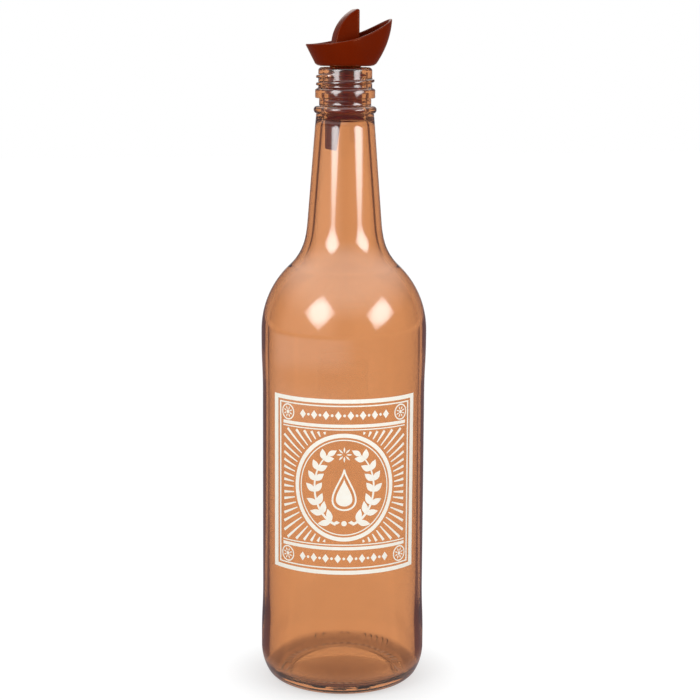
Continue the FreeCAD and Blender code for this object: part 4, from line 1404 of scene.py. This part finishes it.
# %% [markdown]
# ## Sums made of nodes
#
# A glass bottle shows what stands round it, so the studio matters as much as the glass. Walls and
# boards could be modelled, but a world and a floor whose colour follows from the direction need
# less and make less noise in the picture. Such a colour is a sum made of nodes: these four
# helpers add one step each and hand on its output, so that a sum reads almost like arithmetic.

# %% Sums made of nodes
def calculated(tree, operation, first, second=0.0):
    """One Math node; each side is a number or another node's output."""
    made = tree.nodes.new("ShaderNodeMath")
    made.operation = operation
    for socket, value in zip(made.inputs, (first, second)):
        if isinstance(value, (int, float)):
            socket.default_value = value
        else:
            tree.links.new(value, socket)
    return made.outputs[0]


def chosen(tree, by, on, off):
    """The colour on where by is one, and off where it is nought."""
    mix = tree.nodes.new("ShaderNodeMix")
    mix.data_type = "RGBA"
    tree.links.new(by, mix.inputs["Factor"])
    for socket, value in ((mix.inputs[6], off), (mix.inputs[7], on)):
        if isinstance(value, tuple):
            socket.default_value = (*value, 1)
        else:
            tree.links.new(value, socket)
    return mix.outputs[2]


def smooth_step(tree, value, low, high):
    """Nought below low, one above high, and smooth between. With low above high it is the other
    way round."""
    made = tree.nodes.new("ShaderNodeMapRange")
    made.interpolation_type = "SMOOTHSTEP"
    made.inputs["From Min"].default_value, made.inputs["From Max"].default_value = low, high
    tree.links.new(value, made.inputs["Value"])
    return made.outputs["Result"]


def apart(tree, coordinate):
    """The three numbers of a coordinate, as outputs X, Y and Z."""
    where, split = tree.nodes.new("ShaderNodeTexCoord"), tree.nodes.new("ShaderNodeSeparateXYZ")
    tree.links.new(where.outputs[coordinate], split.inputs[0])
    return split.outputs


print("helpers: calculated, chosen, smooth_step, apart")

# %% [markdown]
# ## Directions and rays
#
# The cosine of the angle from one side is one on that side and falls off both ways, so a smooth
# step of it picks out a stretch of the studio. A multiple of the angle picks several at once.
#
# What a ray may see also depends on what the ray is. The camera sees white, and so does light
# that has crossed the whole bottle. Light that has only run along inside one wall has been bent
# fewer than three times and sees dark sides, which gives glass its dark edges. Reflections see
# the real studio: a dim warm room, bright overhead, with white only straight behind the bottle.

# %% Directions and rays
# The third colour is a painted shadow, which the floor's glow shows under the foot to light that
# crosses the bottle.
WHITE, DARK_SIDE, PAINTED_FOOT_SHADOW = (1.0, 1.0, 1.0), (0.16, 0.1, 0.12), (0.3, 0.27, 0.3)
ROOM, SKY, SOFT_FILL = (0.14, 0.09, 0.1), (1.1, 1.1, 1.1), (0.6, 0.6, 0.6)
PALE_FLOOR, PALE_WALL = (0.6, 0.58, 0.62), (0.42, 0.34, 0.34)
BEHIND, THROUGH_THE_HOLLOW = (0.955, 0.995), 2.5


def around(tree, coordinate, fold, start=CAMERA_SIDE + pi):
    """Cosine of so many times the angle round the bottle, counted from straight behind it unless
    another start is given."""
    split = apart(tree, coordinate)
    angle = calculated(tree, "ARCTAN2", split["Y"], split["X"])
    turned_by = calculated(tree, "SUBTRACT", angle, start)
    return calculated(tree, "COSINE", calculated(tree, "MULTIPLY", turned_by, float(fold)))


def seen_light(tree, through, inside_wall, off_gloss, fill):
    """The studio's colour for a ray: white for the camera, one colour for light that crosses the
    whole bottle, one for light inside a wall, one for reflections and one for soft light."""
    path = tree.nodes.new("ShaderNodeLightPath")
    bends = path.outputs["Transmission Depth"]
    deep = calculated(tree, "GREATER_THAN", bends, THROUGH_THE_HOLLOW)
    in_glass = chosen(tree, deep, through, inside_wall)
    light = chosen(tree, path.outputs["Is Glossy Ray"], off_gloss, fill)
    light = chosen(tree, path.outputs["Is Transmission Ray"], in_glass, light)
    return chosen(tree, path.outputs["Is Camera Ray"], WHITE, light)


print("colours by kind of ray: through the glass, inside a wall, reflected, and soft")

# %% [markdown]
# ## The world
#
# Far away round the bottle there are three dark sides for light inside a wall. For reflections
# there is a dim room that brightens to a sky overhead, has a pale wall at the left front, and is
# white straight behind. Each stretch is given by the two cosines between which it begins.

# %% The world
DARK_SIDES, WALL_STRETCH = (-0.85, -0.5), (0.55, 0.95)
SKY_FROM = (0.2, 0.85)  # heights at which the sky begins and is full; straight up is 1

world = bpy.data.worlds.new("studio")
bpy.context.scene.world = world
world.use_nodes = True
tree = world.node_tree
sides = smooth_step(tree, around(tree, "Generated", 3), *DARK_SIDES)
sides = chosen(tree, sides, WHITE, DARK_SIDE)
left_front = around(tree, "Generated", 1, CAMERA_SIDE - radians(55))
room_wall = chosen(tree, smooth_step(tree, left_front, *WALL_STRETCH), PALE_WALL, ROOM)
room = chosen(tree, smooth_step(tree, apart(tree, "Generated")["Z"], *SKY_FROM), SKY, room_wall)
gloss = chosen(tree, smooth_step(tree, around(tree, "Generated", 1), *BEHIND), WHITE, room)
background = tree.nodes["Background"]
tree.links.new(seen_light(tree, WHITE, sides, gloss, SOFT_FILL), background.inputs["Color"])
background.inputs["Strength"].default_value = 1.0
print("the world has", len(tree.nodes), "nodes")

# %% [markdown]
# ## What glows in the floor
#
# The floor is a sheet of white paper, lit so brightly that it merges with the background. A glow
# does that, and its colour follows the same plan as the world's. Light inside a wall sees it
# dark, but for a few narrow gaps and for the far end. Light that crosses the bottle sees a
# painted shadow right under the foot, put into the glow itself where the glass would shut the
# light out. Reflections see it dim, with a pale stretch at the left front that begins half a metre
# away: that lights the bottle's side and leaves the pourer as it is.

# %% What glows in the floor
# The second pair of distances is where the painted shadow under the foot fades out, in metres.
FAR_END, SHADOW_PAINT_REACH = (1.5, 2.1), (0.028, 0.064)  # distances in metres, each from none to full
GAPS, GAPS_BEHIND = (-0.85, -0.97), (-0.9, -0.6)
PALE_STRETCH, PALE_FROM, PALE_TO = (0.3, 0.85), (0.55, 0.85), (1.8, 1.3)
GLOW = 1.06

paper = bpy.data.materials.new("white_paper")
paper.use_nodes = True
tree = paper.node_tree
tree.nodes.remove(tree.nodes["Principled BSDF"])
where, away = tree.nodes.new("ShaderNodeTexCoord"), tree.nodes.new("ShaderNodeVectorMath")
away.operation = "LENGTH"
tree.links.new(where.outputs["Object"], away.inputs[0])


def beyond(low, high):
    """Nought nearer to the middle of the floor than low, and one beyond high, in metres."""
    return smooth_step(tree, away.outputs["Value"], low, high)


gap = smooth_step(tree, around(tree, "Object", 5), *GAPS)
gap_behind = smooth_step(tree, around(tree, "Object", 1), *GAPS_BEHIND)
gap = calculated(tree, "MULTIPLY", gap, gap_behind)
sides = chosen(tree, calculated(tree, "MAXIMUM", beyond(*FAR_END), gap), WHITE, DARK_SIDE)
left_front = smooth_step(tree, around(tree, "Object", 1, CAMERA_SIDE - radians(50)), *PALE_STRETCH)
pale = calculated(tree, "MULTIPLY", left_front, beyond(*PALE_FROM))
pale = calculated(tree, "MULTIPLY", pale, beyond(*PALE_TO))
room = chosen(tree, pale, PALE_FLOOR, ROOM)
gloss = chosen(tree, smooth_step(tree, around(tree, "Object", 1), *BEHIND), WHITE, room)
# The shade under the foot is painted: light that crosses the bottle sees the glow darkened near the
# axis, fading out between the two distances.
through = chosen(tree, beyond(*SHADOW_PAINT_REACH), WHITE, PAINTED_FOOT_SHADOW)
glow = tree.nodes.new("ShaderNodeEmission")
glow.inputs["Strength"].default_value = GLOW
tree.links.new(seen_light(tree, through, sides, gloss, WHITE), glow.inputs["Color"])
print("the floor's glow has", len(tree.nodes), "nodes")

# %% [markdown]
# ## The floor
#
# A floor that only glows can't take a shadow, so the glow is mixed with plain matt paper. How much
# glows depends on the ray again: nearly all of it for light that comes through the glass, and
# close to the bottle less for the camera and for reflections, so a soft shadow shows there.

# %% The floor
UNDER_BOTTLE, OPEN_FLOOR, IN_GLASS = 0.55, 0.42, 0.95  # shares of glow; the first two add up
NEAR_FOOT = (0.03, 0.068)  # metres from the axis between which the shadow ends

matt = tree.nodes.new("ShaderNodeBsdfDiffuse")
matt.inputs["Color"].default_value = (0.75, 0.75, 0.75, 1)
path, seen = tree.nodes.new("ShaderNodeLightPath"), 0.0
in_view = calculated(tree, "MULTIPLY", beyond(*NEAR_FOOT), OPEN_FLOOR)
in_view = calculated(tree, "ADD", in_view, UNDER_BOTTLE)
for kind, share in (("Camera", in_view), ("Transmission", IN_GLASS), ("Glossy", in_view)):
    part = calculated(tree, "MULTIPLY", path.outputs[f"Is {kind} Ray"], share)
    seen = calculated(tree, "ADD", seen, part)
mix = tree.nodes.new("ShaderNodeMixShader")
for source, target in zip((seen, matt.outputs[0], glow.outputs[0]), mix.inputs):
    tree.links.new(source, target)
tree.links.new(mix.outputs[0], tree.nodes["Material Output"].inputs["Surface"])

floor_mesh = bpy.data.meshes.new("floor")
floor_mesh.from_pydata([(-4, -4, 0), (4, -4, 0), (4, 4, 0), (-4, 4, 0)], [], [(0, 1, 2, 3)])
floor = bpy.data.objects.new("floor", floor_mesh)
bpy.context.scene.collection.objects.link(floor)
floor.data.materials.append(paper)
print("the floor is 8 m wide and stays put when the bottle moves")

# %% [markdown]
# ## Size
#
# The picture's colours go out as they are, without a film look. The CAD model's own size is
# printed at the end.

# %% Size
bpy.context.scene.view_settings.view_transform = "Standard"

print("CAD box", [round(v / MM, 2) for v in (*cad_low, *cad_high)])
